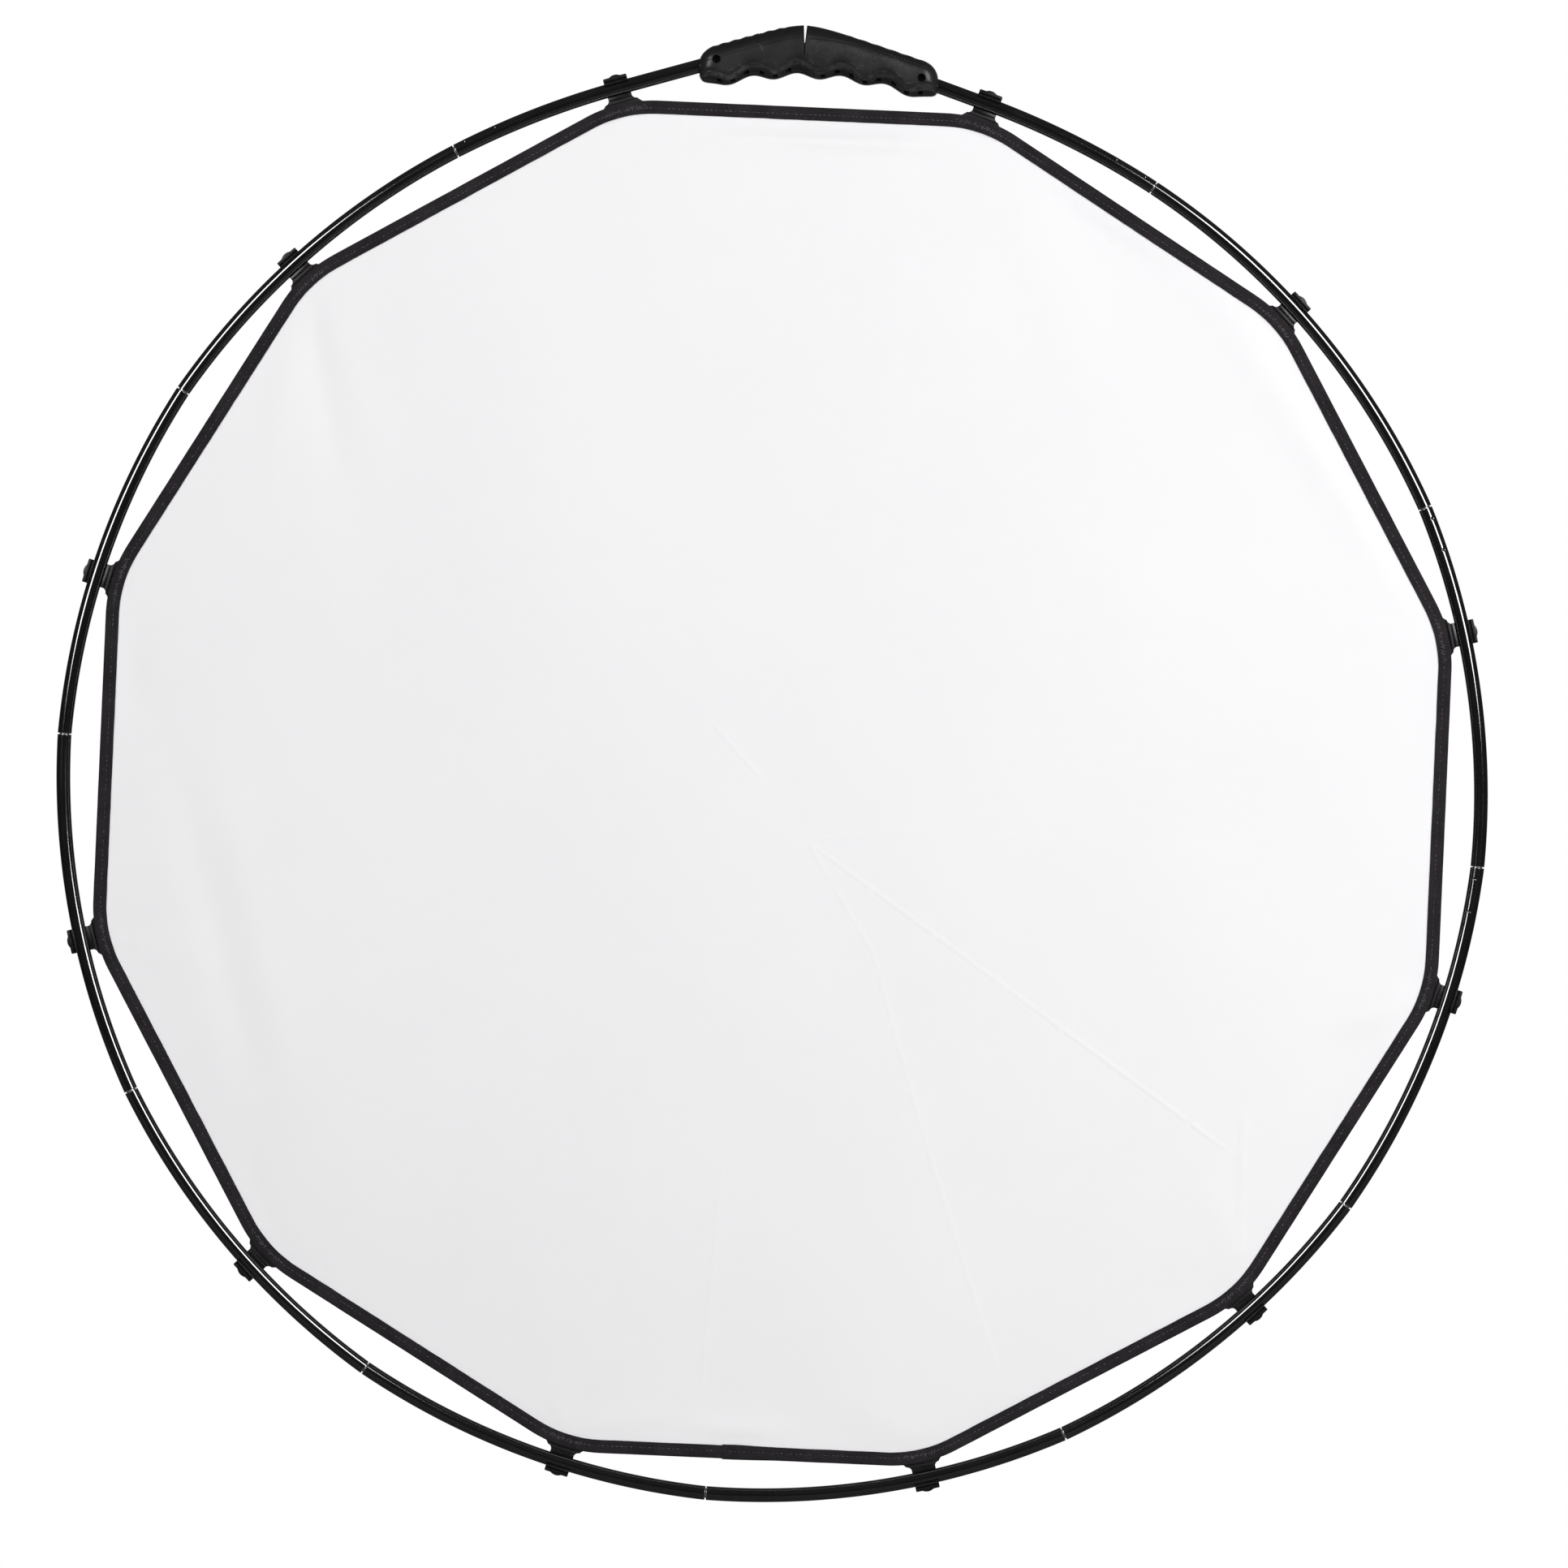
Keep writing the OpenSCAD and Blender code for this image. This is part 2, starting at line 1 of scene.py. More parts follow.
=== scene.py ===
import math
import bmesh
import bpy
import numpy as np
from mathutils import Matrix, Vector
from mathutils.bvhtree import BVHTree
from mathutils.geometry import delaunay_2d_cdt


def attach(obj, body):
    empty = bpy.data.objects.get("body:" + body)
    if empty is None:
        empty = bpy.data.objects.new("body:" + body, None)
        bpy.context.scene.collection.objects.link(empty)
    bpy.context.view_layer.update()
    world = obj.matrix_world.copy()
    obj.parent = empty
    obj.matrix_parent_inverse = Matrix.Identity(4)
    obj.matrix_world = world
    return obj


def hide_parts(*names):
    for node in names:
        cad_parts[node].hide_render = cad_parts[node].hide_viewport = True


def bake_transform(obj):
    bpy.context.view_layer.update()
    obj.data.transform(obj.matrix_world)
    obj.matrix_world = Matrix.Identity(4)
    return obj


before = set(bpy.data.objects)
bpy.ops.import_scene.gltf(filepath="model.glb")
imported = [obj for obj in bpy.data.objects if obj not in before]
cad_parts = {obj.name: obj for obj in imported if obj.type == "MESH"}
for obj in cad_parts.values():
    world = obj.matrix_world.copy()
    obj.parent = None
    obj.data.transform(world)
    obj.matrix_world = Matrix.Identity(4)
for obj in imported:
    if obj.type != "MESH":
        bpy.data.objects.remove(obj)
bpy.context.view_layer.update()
scene = bpy.context.scene

# ---- sizes in mm, drawn flat: X right, Y up, Z to the viewer, the hoop's centre at 0, 0 ----

R, HOLD = 406.5, 420.5              # the hoop's centreline; the grip's middle above its centre
TUBE_R, BORE_R = 4.0, 3.35
FIRST, LAST = 30, 29                # degrees from the top to the first and to the last joint
KINK, END_KINK, GAP = 2, 0.4, 0.6   # degrees the line turns by at a joint, and at an end tube's;
                                    # the open gap between two tubes
REACH = 34                          # a ferrule's reach, by which the second tube is longer
SLOPE, RISE = 17.7, 23              # the tubes' slope at the grip; where they cross, above R
GRIP_LEN, TOP_SLOPE = {1: 77.0, -1: 59.5}, {1: 16.7, -1: 18.6}  # right and left half
IN_GRIP, SCREW_IN = 34, 10          # how far inside the grip's end a tube and a screw are
CLIP_LEN, INSET, CORNER_R = 13.8, 9.0, 80.0     # inset of the cover's edge from a tube's line
TAPE_W, TAPE_T, FABRIC_T, FOLD = 7.6, 0.55, 0.3, 1.2    # fold: tape outside the cloth's rim
HALF_T = FABRIC_T / 2 + TAPE_T
PHOTO_PX, PHOTO_MM, ROLL = 1932, 0.4649, 2.5    # photo's width, mm a pixel, degrees it leans
RING_PX = (951.6, 969.0)            # the hoop's centre in the photo

SIDE = {1: "right", -1: "left"}
TO_VIEWER = np.array([0, 0, 1.0])
rad, deg = np.radians, np.degrees


def way(a):
    """Unit vectors at angles clockwise from the top."""
    a = rad(np.asarray(a, float))
    return np.stack([np.sin(a), np.cos(a)], -1)


def ring(radius, a):
    """Points of a circle at angles anticlockwise from the right."""
    return radius * np.stack([np.cos(rad(a)), np.sin(rad(a))], -1)


def row(p):
    """Flat mm to the row frame's metres."""
    return np.stack([p[..., 0], -p[..., 2], p[..., 1] - HOLD], -1) / 1000


def flat3(p, z=0.0):
    """Flat points raised by z towards the viewer."""
    z = np.broadcast_to(np.asarray(z, float)[..., None], p.shape[:-1] + (1,))
    return np.concatenate([p, z], -1)


def unit(v):
    return v / np.linalg.norm(v, axis=-1, keepdims=True)


def smooth(x, lo, hi):
    """A soft step from 0 at lo to 1 at hi."""
    t = np.clip((x - lo) / (hi - lo), 0, 1)
    return t * t * (3 - 2 * t)


def window(x, a, b, c, d):
    """A soft step up from a to b and down again from c to d."""
    return smooth(x, a, b) * (1 - smooth(x, c, d))


def hump(x, width):
    return np.exp(-(x / width) ** 2)


def wave(x, pitch):
    return np.cos(2 * math.pi * x / pitch)


def way_along(points):
    """How far along a line each of its points lies."""
    return np.concatenate([[0], np.cumsum(np.linalg.norm(np.diff(points, axis=0), axis=1))])


def round_rings(p, n, angles, radius):
    """Circles round a flat line of points p with normals n."""
    a = rad(angles)[:, None]
    spokes = flat3(n)[:, None] * np.cos(a) + TO_VIEWER * np.sin(a)
    return flat3(p)[:, None] + np.asarray(radius)[..., None] * spokes


def add_object(name, data):
    new = bpy.data.objects.new(name, data)
    scene.collection.objects.link(new)
    return new


def placed(at, x, y, z):
    """The matrix of an object at a point, with its axes along x, y and z."""
    return Matrix.Translation(at) @ Matrix((x, y, z)).transposed().to_4x4()


def stand_for(piece, node, body=None):
    """Shows a piece in place of a CAD node, and puts it on a body where one is given."""
    if body:
        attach(piece, body)
    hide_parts(node)
    return piece


# ---- camera: level, straight at the front, rolled as the panel leans ----

CENTRE = Vector((0, 0, -HOLD / 1000))
DISTANCE, FILM = 3.2, 36            # m, and Blender's film width in mm
roll_cos, roll_sin = math.cos(math.radians(ROLL)), math.sin(math.radians(ROLL))
cam_right, cam_up = Vector((roll_cos, 0, roll_sin)), Vector((-roll_sin, 0, roll_cos))
aim = (CENTRE + cam_right * (PHOTO_PX / 2 - RING_PX[0]) * PHOTO_MM / 1000
       - cam_up * (PHOTO_PX / 2 - RING_PX[1]) * PHOTO_MM / 1000)
camera = add_object("camera", bpy.data.cameras.new("camera"))
camera.data.lens = FILM * DISTANCE / (PHOTO_PX * PHOTO_MM / 1000)
camera.data.clip_start, camera.data.clip_end = 0.1, 60
camera.matrix_world = placed(aim + Vector((0, -DISTANCE, 0)), cam_right, cam_up, (0, -1, 0))
scene.camera = camera
scene.view_settings.view_transform = "Standard"


# ---- materials ----

class Nodes:
    """Adds nodes to a tree with short calls. A socket given as a value is linked."""

    def __init__(self, tree):
        self.tree = tree

    def put(self, socket, value):
        if isinstance(value, bpy.types.NodeSocket):
            self.tree.links.new(value, socket)
        elif socket.type == "RGBA":
            socket.default_value = (*value, 1)
        else:
            socket.default_value = value

    def fill(self, node, inputs):
        """Sets inputs by name, or by place as i0, i1 and so on."""
        for key, value in inputs.items():
            place = int(key[1:]) if key[1:].isdigit() else key.replace("_", " ")
            self.put(node.inputs[place], value)

    def add(self, kind, out=0, props=None, **inputs):
        node = self.tree.nodes.new("ShaderNode" + kind)
        for key, value in (props or {}).items():
            setattr(node, key, value)
        self.fill(node, inputs)
        return node.outputs[out]

    def math(self, op, a, b=0.0, clamp=False):
        return self.add("Math", 0, {"operation": op, "use_clamp": clamp}, i0=a, i1=b)

    def times(self, first, *more):
        for value in more:
            first = self.math("MULTIPLY", first, value)
        return first

    def plus(self, first, *more):
        for value in more:
            first = self.math("ADD", first, value)
        return first

    def wave(self, value, pitch):
        return self.math("SINE", self.times(value, 2 * math.pi / pitch))

    def where(self, kind="Object"):
        return self.add("TexCoord", kind)

    def axis(self, vector, i):
        return self.add("SeparateXYZ", i, Vector=vector)

    def mark(self, name):
        """A mark that the mesh carries, from 0 to 1."""
        return self.add("Attribute", "Fac", {"attribute_name": name})

    def rays(self, kind):
        return self.add("LightPath", f"Is {kind} Ray")

    def stretch(self, vector, scale):
        return self.add("Mapping", Vector=vector, Scale=scale)

    def noise(self, vector, scale, detail=3.0, rough=0.55):
        return self.add("TexNoise", Vector=vector, Scale=scale, Detail=detail, Roughness=rough)

    def pebbles(self, vector, scale, soft):
        return self.add("TexVoronoi", 0, {"feature": "SMOOTH_F1"}, Vector=vector, Scale=scale,
                        Smoothness=soft)

    def ramp(self, value, lo, hi, a=0.0, b=1.0):
        """A soft step from a at lo to b at hi."""
        return self.add("MapRange", 0, {"interpolation_type": "SMOOTHSTEP"},
                        Value=value, i1=lo, i2=hi, i3=a, i4=b)

    def mix(self, share, a, b):
        return self.add("Mix", 2, {"data_type": "RGBA"}, i0=share, i6=a, i7=b)

    def layers(self, tone, *more):
        """A colour with others laid over it in turn, each by its own share."""
        for share, colour in more:
            tone = self.mix(share, tone, colour)
        return tone

    def bump(self, height, strength, distance):
        return self.add("Bump", Height=height, Strength=strength, Distance=distance)


class Paint(Nodes):
    """A material. Its plain colour and roughness are what shows where its nodes aren't read."""

    def __init__(self, name, base, rough, metal=0.0):
        self.material = bpy.data.materials.new(name)
        self.material.use_nodes = True
        super().__init__(self.material.node_tree)
        self.shader = self.tree.nodes["Principled BSDF"]
        self.set(Base_Color=base, Roughness=rough, Metallic=metal)

    def set(self, **inputs):
        self.fill(self.shader, inputs)

    def finish(self, tone, rough, height, strength, distance, **more):
        self.set(Base_Color=tone, Roughness=rough, Normal=self.bump(height, strength, distance),
                 **more)
        return self.material


def tube_paint():
    p = Paint("tube_black_anodised", (0.006, 0.0055, 0.0056), 0.16)
    at = p.where()
    rubs = p.noise(p.stretch(p.where("UV"), (25, 900, 1)), 1.0, 4, 0.6)
    patches = p.noise(at, 34, 3)
    tone = p.layers((0.0032, 0.0029, 0.003),
                    (p.ramp(patches, 0.35, 0.7), (0.0052, 0.0047, 0.0049)),
                    (p.ramp(rubs, 0.66, 0.82, 0, 0.3), (0.02, 0.019, 0.02)),
                    (p.ramp(p.mark("rim"), 0.0, 1.0, 0, 0.75), (0.2, 0.2, 0.21)))
    rough = p.plus(p.ramp(patches, 0.3, 0.7, 0.08, 0.11), p.ramp(rubs, 0.6, 0.85, 0.0, 0.07))
    return p.finish(tone, rough, p.plus(p.noise(at, 2600, 2), rubs), 0.02, 0.00001, IOR=2.3)


def alloy_paint():
    p = Paint("ferrule_alloy", (0.72, 0.73, 0.75), 0.3, 1.0)
    turned = p.noise(p.where(), 1500, 4, 0.7)
    tone = p.mix(p.ramp(turned, 0.3, 0.7), (0.62, 0.63, 0.65), (0.8, 0.81, 0.83))
    return p.finish(tone, p.ramp(turned, 0.3, 0.7, 0.24, 0.42), turned, 0.2, 0.00004)


def clip_paint():
    p = Paint("clip_moulded_nylon", (0.0155, 0.015, 0.0148), 0.4)
    at = p.where()
    plate = p.ramp(p.axis(at, 1), -0.0066, -0.0078)
    grain, leather = p.noise(at, 2400, 2), p.pebbles(at, 1150.0, 0.6)
    worn = p.ramp(p.noise(at, 420, 3), 0.42, 0.7)
    jaw_tone = p.mix(p.times(worn, 0.35), (0.0065, 0.006, 0.006), (0.013, 0.0122, 0.0126))
    plate_tone = p.mix(worn, (0.0115, 0.0098, 0.0113), (0.019, 0.0165, 0.019))
    rough = p.ramp(p.plus(worn, p.times(plate, 2.0)), 0.0, 2.6, 0.28, 0.75)
    height = p.plus(p.times(grain, 0.35), p.times(leather, plate))
    return p.finish(p.mix(plate, jaw_tone, plate_tone), rough, height, 0.25, 0.0002,
                    Specular_IOR_Level=0.4)


def tape_paint():
    p = Paint("binding_woven_tape", (0.024, 0.021, 0.024), 0.8)
    at, uv = p.where(), p.where("UV")
    weave = p.times(p.wave(p.axis(uv, 0), 0.00075), p.wave(p.axis(uv, 1), 0.0006))
    fuzz, flecks, clouds = p.noise(at, 1500, 3, 0.6), p.noise(at, 620, 2, 0.5), p.noise(at, 55, 3)
    tone = p.layers((0.013, 0.0107, 0.0133),
                    (p.ramp(clouds, 0.3, 0.72), (0.0205, 0.017, 0.021)),
                    (p.ramp(flecks, 0.56, 0.78, 0, 0.55), (0.036, 0.033, 0.038)),
                    # painted shade in the weave's hollows
                    (p.ramp(weave, -0.9, -0.3, 0.35, 0), (0.008, 0.007, 0.008)))
    height = p.plus(p.times(weave, 0.35), p.times(fuzz, 1.2))
    return p.finish(tone, p.ramp(fuzz, 0.3, 0.7, 0.68, 0.92), height, 0.45, 0.00018,
                    Sheen_Weight=0.02, Sheen_Roughness=0.5, Specular_IOR_Level=0.15)


def thread_paint():
    p = Paint("binding_thread", (0.05, 0.046, 0.052), 0.5)
    at = p.where()
    twist = p.noise(p.stretch(at, (3, 3, 1)), 1900, 2)
    tone = p.layers((0.016, 0.014, 0.017),
                    (p.ramp(p.noise(at, 420, 2), 0.45, 0.6), (0.115, 0.105, 0.12)),
                    (p.ramp(twist, 0.3, 0.7, 0, 0.5), (0.035, 0.031, 0.037)))
    return p.finish(tone, p.ramp(twist, 0.3, 0.7, 0.4, 0.65), twist, 0.5, 0.0001)


def fabric_paint():
    p = Paint("diffuser_white_nylon", (0.88, 0.88, 0.9), 0.62)
    at = p.where()
    weave = p.times(p.wave(p.axis(at, 0), 0.0004), p.wave(p.axis(at, 2), 0.0004))
    slubs = p.noise(p.stretch(at, (1, 1, 14)), 90, 4, 0.6)
    clouds = p.noise(at, 6.5, 4, 0.55)
    tone = p.layers((0.879, 0.876, 0.888),
                    (p.ramp(clouds, 0.3, 0.7), (0.892, 0.889, 0.9)),
                    (p.ramp(slubs, 0.6, 0.85, 0, 0.3), (0.84, 0.838, 0.853)))
    bump = p.bump(p.plus(p.times(weave, 0.5), slubs), 0.12, 0.00008)
    p.set(Base_Color=tone, Roughness=p.ramp(slubs, 0.3, 0.7, 0.55, 0.7), Sheen_Weight=0.08,
          Normal=bump)
    # the cloth lets light through
    through = p.add("BsdfTranslucent", Color=(0.93, 0.93, 0.95), Normal=bump)
    both = p.add("MixShader", i0=0.22, i1=p.shader.outputs[0], i2=through)
    p.put(p.tree.nodes["Material Output"].inputs["Surface"], both)
    return p.material


def grip_paint():
    p = Paint("grip_moulded_rubber", (0.015, 0.0137, 0.0148), 0.4)
    at = p.where()
    pebbled, crest, band, pocket, hatch, cap = (
        p.mark(name) for name in ("pebbled", "crest", "band", "pocket", "hatch", "cap"))
    x, z = p.axis(at, 0), p.axis(at, 2)
    across = p.math("SUBTRACT", p.times(z, 0.62), p.times(x, 0.78))
    along = p.plus(p.times(z, 0.78), p.times(x, 0.62))
    # slanted lines, notched along their length and worn off in places
    lines = p.times(p.ramp(p.wave(across, 0.0015), 0.0, 1.0),
                    p.ramp(p.wave(along, 0.0019), -1.0, 0.6, 0.35, 1.0),
                    p.ramp(p.noise(at, 700, 2), 0.35, 0.62), hatch)
    grain, clouds = p.noise(at, 1900, 3, 0.6), p.noise(at, 80, 4, 0.6)
    scuffs = p.ramp(p.noise(p.stretch(at, (1, 1, 2.2)), 340, 5, 0.7), 0.53, 0.7)
    patchy = p.ramp(p.noise(at, 210, 3), 0.42, 0.62)
    # painted highlight along the finger crests, broken into patches like wear
    worn = p.times(crest, p.times(patchy, p.ramp(grain, 0.35, 0.6, 0.4, 1.0)))
    tone = p.layers((0.0103, 0.0092, 0.0103),
                    (p.ramp(clouds, 0.3, 0.7), (0.015, 0.0135, 0.0153)),
                    (band, (0.0105, 0.0096, 0.0098)),
                    # painted highlight: lighter over the rounded ends
                    (p.times(cap, 0.6), (0.0225, 0.0206, 0.0222)),
                    # the crests' painted highlight
                    (worn, (0.048, 0.044, 0.047)),
                    (p.times(lines, 0.4), (0.036, 0.033, 0.036)),
                    (p.times(scuffs, pebbled), (0.06, 0.055, 0.058)),
                    # painted shade: near black in the pockets and along the split between the
                    # halves
                    (pocket, (0.0015, 0.0014, 0.0014)))
    leather = p.times(p.pebbles(at, 760.0, 0.7), p.ramp(pebbled, 0, 1, 0.12, 1.6))
    height = p.plus(p.times(grain, 0.45), leather, p.times(lines, 0.7))
    matt = p.ramp(p.plus(clouds, p.times(pebbled, 0.8)), 0.3, 1.4, 0.36, 0.52)
    rough = p.plus(p.math("SUBTRACT", matt, p.times(cap, 0.07)), p.times(pocket, 0.4))
    return p.finish(tone, rough, height, 0.3, 0.0002,
                    Specular_IOR_Level=p.ramp(pocket, 0.0, 0.8, 0.42, 0.05))


def steel_paint():
    p = Paint("screw_blackened_steel", (0.06, 0.058, 0.058), 0.4, 1.0)
    marks = p.noise(p.where(), 2200, 4, 0.65)
    tone = p.mix(p.ramp(marks, 0.35, 0.7), (0.006, 0.0055, 0.0055), (0.016, 0.015, 0.0145))
    return p.finish(tone, p.ramp(marks, 0.3, 0.7, 0.4, 0.6), marks, 0.2, 0.0001)


def cord_paint():
    p = Paint("elastic_braid", (0.02, 0.02, 0.022), 0.8)
    uv = p.where("UV")
    u, v = p.times(p.axis(uv, 0), 2 * math.pi / 0.0024), p.times(p.axis(uv, 1), 8 * math.pi)
    braid = p.times(p.math("SINE", p.plus(u, v)), p.math("SINE", p.math("SUBTRACT", u, v)))
    # painted shade: darker where the braid sinks in
    tone = p.mix(p.ramp(braid, -0.6, 0.6), (0.009, 0.009, 0.01), (0.045, 0.045, 0.05))
    return p.finish(tone, p.ramp(braid, -1, 1, 0.7, 0.9), braid, 0.6, 0.0002)


TUBE, ALLOY, CLIP, TAPE, THREAD, CLOTH, RUBBER, STEEL, CORD = (
    tube_paint(), alloy_paint(), clip_paint(), tape_paint(), thread_paint(), fabric_paint(),
    grip_paint(), steel_paint(), cord_paint())


# ---- mesh builder ----

RIM_STEPS, SOFT_STEPS = 3, 4        # facets of a prism's rounded rim and of a softened corner
THREAD_LINE = np.array([0, 0.12, 0.32, 0.68, 0.88, 1.0])[:, None]
THREAD_THICK = np.array([0.35, 0.8, 1, 1, 0.8, 0.35])[:, None]


def quads_over(i, j, m, n):
    """The corners of the quads from steps i and j, over m rings of n points."""
    i2, j2 = (i + 1) % m, (j + 1) % n
    quads = np.broadcast_arrays(i * n + j, i2 * n + j, i2 * n + j2, i * n + j2)
    return np.stack(quads, -1).reshape(-1, 4)


class Shape:
    """Collects quads and caps in flat mm, then makes one mesh of them. Its threads take its
    second material, and all else the first."""

    def __init__(self):
        self.points, self.quads, self.uvs, self.quad_mat = [], [], [], []
        self.caps, self.cap_mat, self.marks, self.count = [], [], {}, 0

    def store(self, points, quads, uvs, caps, mat):
        """Adds faces, which are numbered from the first of these points."""
        self.points.append(points.reshape(-1, 3))
        self.quads.append(quads + self.count)
        self.uvs.append(uvs.reshape(-1, 4, 2))
        self.quad_mat.append(np.full(len(quads), mat))
        self.caps += (np.asarray(caps, int) + self.count).tolist()
        self.cap_mat += [mat] * len(caps)
        self.count += len(self.points[-1])
        return self

    def grid(self, rings, u=None, v=None, close=False, caps=False, marks=None):
        """Quads over closed rings (m, n, 3). close joins the last ring to the first."""
        m, n = rings.shape[:2]
        u = np.arange(m, dtype=float) if u is None else u
        v = np.arange(n, dtype=float) if v is None else v
        u, v = (np.append(x, 2 * x[-1] - x[-2]) for x in (u, v))
        i, j = np.arange(m if close else m - 1)[:, None], np.arange(n)[None, :]
        uvs = np.stack([np.stack(np.broadcast_arrays(u[a], v[b]), -1)
                        for a, b in ((i, j), (i + 1, j), (i + 1, j + 1), (i, j + 1))], -2)
        ends = [np.arange(n)[::-1], (m - 1) * n + np.arange(n)] if caps else []
        self.marks.update(marks or {})
        return self.store(rings, quads_over(i, j, m, n), uvs, ends, 0)

    def prism(self, outline, z0, z1, r, axes=(0, 1, 2)):
        """An outline drawn up from z0 to z1, with its two rims rounded to r."""
        outline = np.asarray(outline, float)
        if np.cross(outline, np.roll(outline, -1, 0)).sum() < 0:
            outline = outline[::-1]
        edge = unit(outline - np.roll(outline, 1, 0))
        before = np.stack([edge[:, 1], -edge[:, 0]], -1)
        after = np.roll(before, -1, 0)
        out = (before + after) / np.maximum(1 + (before * after).sum(-1, keepdims=True), 0.35)
        t = np.linspace(0, math.pi / 2, RIM_STEPS + 1)
        inset, rise = r * (1 - np.sin(t)), r * (1 - np.cos(t))
        levels = [*zip(inset, z0 + rise), *zip(inset[::-1], z1 - rise[::-1])]
        rings = np.array([flat3(outline - d * out, z) for d, z in levels])
        return self.grid(rings[..., axes], caps=True)

    def threads(self, a, b, side, r, rise):
        """Short stitches from points a to b, which come up to one side between their ends."""
        up, angles = side * TO_VIEWER, np.arange(6) * math.pi / 3
        line = (b - a)[:, None] * THREAD_LINE + r * rise * np.sin(math.pi * THREAD_LINE) * up
        across = np.cross(unit(b - a), up)[:, None, None]
        thick = r * THREAD_THICK
        rings = ((a[:, None] + line)[:, :, None] + across * (thick * np.cos(angles))[..., None]
                 + up * (thick * np.sin(angles))[..., None])
        k, m, n = rings.shape[:3]
        first = np.arange(k)[:, None] * m * n
        quads = quads_over(np.arange(m - 1)[:, None], np.arange(n)[None, :], m, n)
        quads = (first[:, :, None] + quads).reshape(-1, 4)
        caps = np.concatenate([first + np.arange(n)[::-1], first + (m - 1) * n + np.arange(n)])
        return self.store(rings, quads, np.zeros((len(quads), 4, 2)), caps, 1)

    def mesh(self, name, materials, sharp, local=False):
        """One mesh, in the row frame or about its own origin, creased over sharp degrees."""
        points, quads = np.concatenate(self.points), np.concatenate(self.quads)
        points = points / 1000 if local else row(points)
        mesh = bpy.data.meshes.new(name)
        mesh.from_pydata(points.tolist(), [], quads.tolist() + self.caps)
        uvs = np.zeros((len(mesh.loops), 2), np.float32)
        uvs[:quads.size] = np.concatenate(self.uvs).reshape(-1, 2)
        mesh.uv_layers.new(name="UVMap").data.foreach_set("uv", uvs.ravel())
        which = np.concatenate([*self.quad_mat, self.cap_mat]).astype(np.int32)
        mesh.polygons.foreach_set("material_index", which)
        for key, value in self.marks.items():
            layer = mesh.attributes.new(key, "FLOAT", "POINT")
            layer.data.foreach_set("value", value.astype(np.float32).ravel())
        for material in materials:
            mesh.materials.append(material)
        work = bmesh.new()
        work.from_mesh(mesh)
        bmesh.ops.recalc_face_normals(work, faces=work.faces)
        work.to_mesh(mesh)
        work.free()
        mesh.shade_smooth()
        mesh.set_sharp_from_angle(angle=math.radians(sharp))
        mesh.update()
        return mesh

    def make(self, name, materials, sharp=32):
        return add_object(name, self.mesh(name, materials, sharp))


def soften(points, r, least=22):
    """A closed outline with its corners rounded to r, where it turns by least degrees."""
    points = np.asarray(points, float)
    out = []
    for p, a, b in zip(points, np.roll(points, 1, 0), np.roll(points, -1, 0)):
        u, v = unit(a - p), unit(b - p)
        inner = math.acos(max(-1, min(1, float(u @ v))))
        if math.degrees(math.pi - inner) < least:
            out.append(p)
            continue
        most = 0.45 * min(np.linalg.norm(a - p), np.linalg.norm(b - p))
        cut = min(r / math.tan(inner / 2), most)
        radius = cut * math.tan(inner / 2)
        centre = p + unit(u + v) * radius / math.sin(inner / 2)
        s0, s1 = p + u * cut - centre, p + v * cut - centre
        a0 = math.atan2(s0[1], s0[0])
        sweep = (math.atan2(s1[1], s1[0]) - a0 + math.pi) % (2 * math.pi) - math.pi
        out += list(centre + ring(radius, deg(a0 + sweep * np.linspace(0, 1, SOFT_STEPS + 1))))
    return np.array(out)


# ---- the hoop's lines ----

long_extra = deg(REACH / R)
span = (360 - FIRST - LAST - long_extra) / 10
run_dir, run_normal, run_start = way(SLOPE + 90), way(SLOPE), np.array([0, R + RISE])


def joint_at(j):
    """A joint's angle, clockwise from the top."""
    return {1: FIRST, 11: 360 - LAST}.get(j, FIRST + long_extra + (j - 1) * span)


def bent(k):
    """Centre, radius, middle and half angle of a bent tube's line."""
    half, mid = (joint_at(k) - joint_at(k - 1)) / 2, (joint_at(k) + joint_at(k - 1)) / 2
    own = half - KINK / 2
    radius = R * math.sin(rad(half)) / math.sin(rad(own))
    offset = R * math.cos(rad(half)) - radius * math.cos(rad(own))
    return offset * way(mid), radius, mid, own


def end_bend(side):
    """Centre, radius, turn and start along the run of an end tube's bend, on the right."""
    joint = FIRST if side > 0 else LAST
    angle = joint + KINK / 2 - END_KINK - SLOPE
    chord = R * way(joint) - run_start
    radius = -(chord @ run_normal) / (1 - math.cos(rad(angle)))
    to = chord @ run_dir - radius * math.sin(rad(angle))
    return run_start + to * run_dir - radius * run_normal, radius, angle, to


def tube_line(x):
    """Height of an end tube's straight run."""
    return run_start[1] - math.tan(rad(SLOPE)) * x


def screw_at(side):
    """A grip screw's middle, on the right."""
    length = GRIP_LEN[side]
    return np.array([length, tube_line(length)]) - SCREW_IN * run_dir


def line_of(k):
    """A tube's line as a function of the way along it, clockwise, with its length."""
    if 1 < k < 12:
        centre, radius, mid, own = bent(k)
        half = own - deg(GAP / 2 / radius)

        def at(s):
            a = mid - half + deg(s / radius)
            return centre + radius * way(a), way(a)
        return at, 2 * rad(half) * radius
    side = 1 if k == 1 else -1
    centre, radius, angle, to = end_bend(side)
    begin = GRIP_LEN[side] / math.cos(rad(SLOPE)) - IN_GRIP
    straight = to - begin
    length = straight + rad(angle) * radius - GAP / 2

    def at(s):
        s = s if side > 0 else length - s
        n = way(SLOPE + deg(np.maximum(s - straight, 0) / radius))
        on_run = run_start + (begin + s)[..., None] * run_dir
        p = np.where((s < straight)[..., None], on_run, centre + radius * n)
        return p * [side, 1], n * [side, 1]
    return at, length


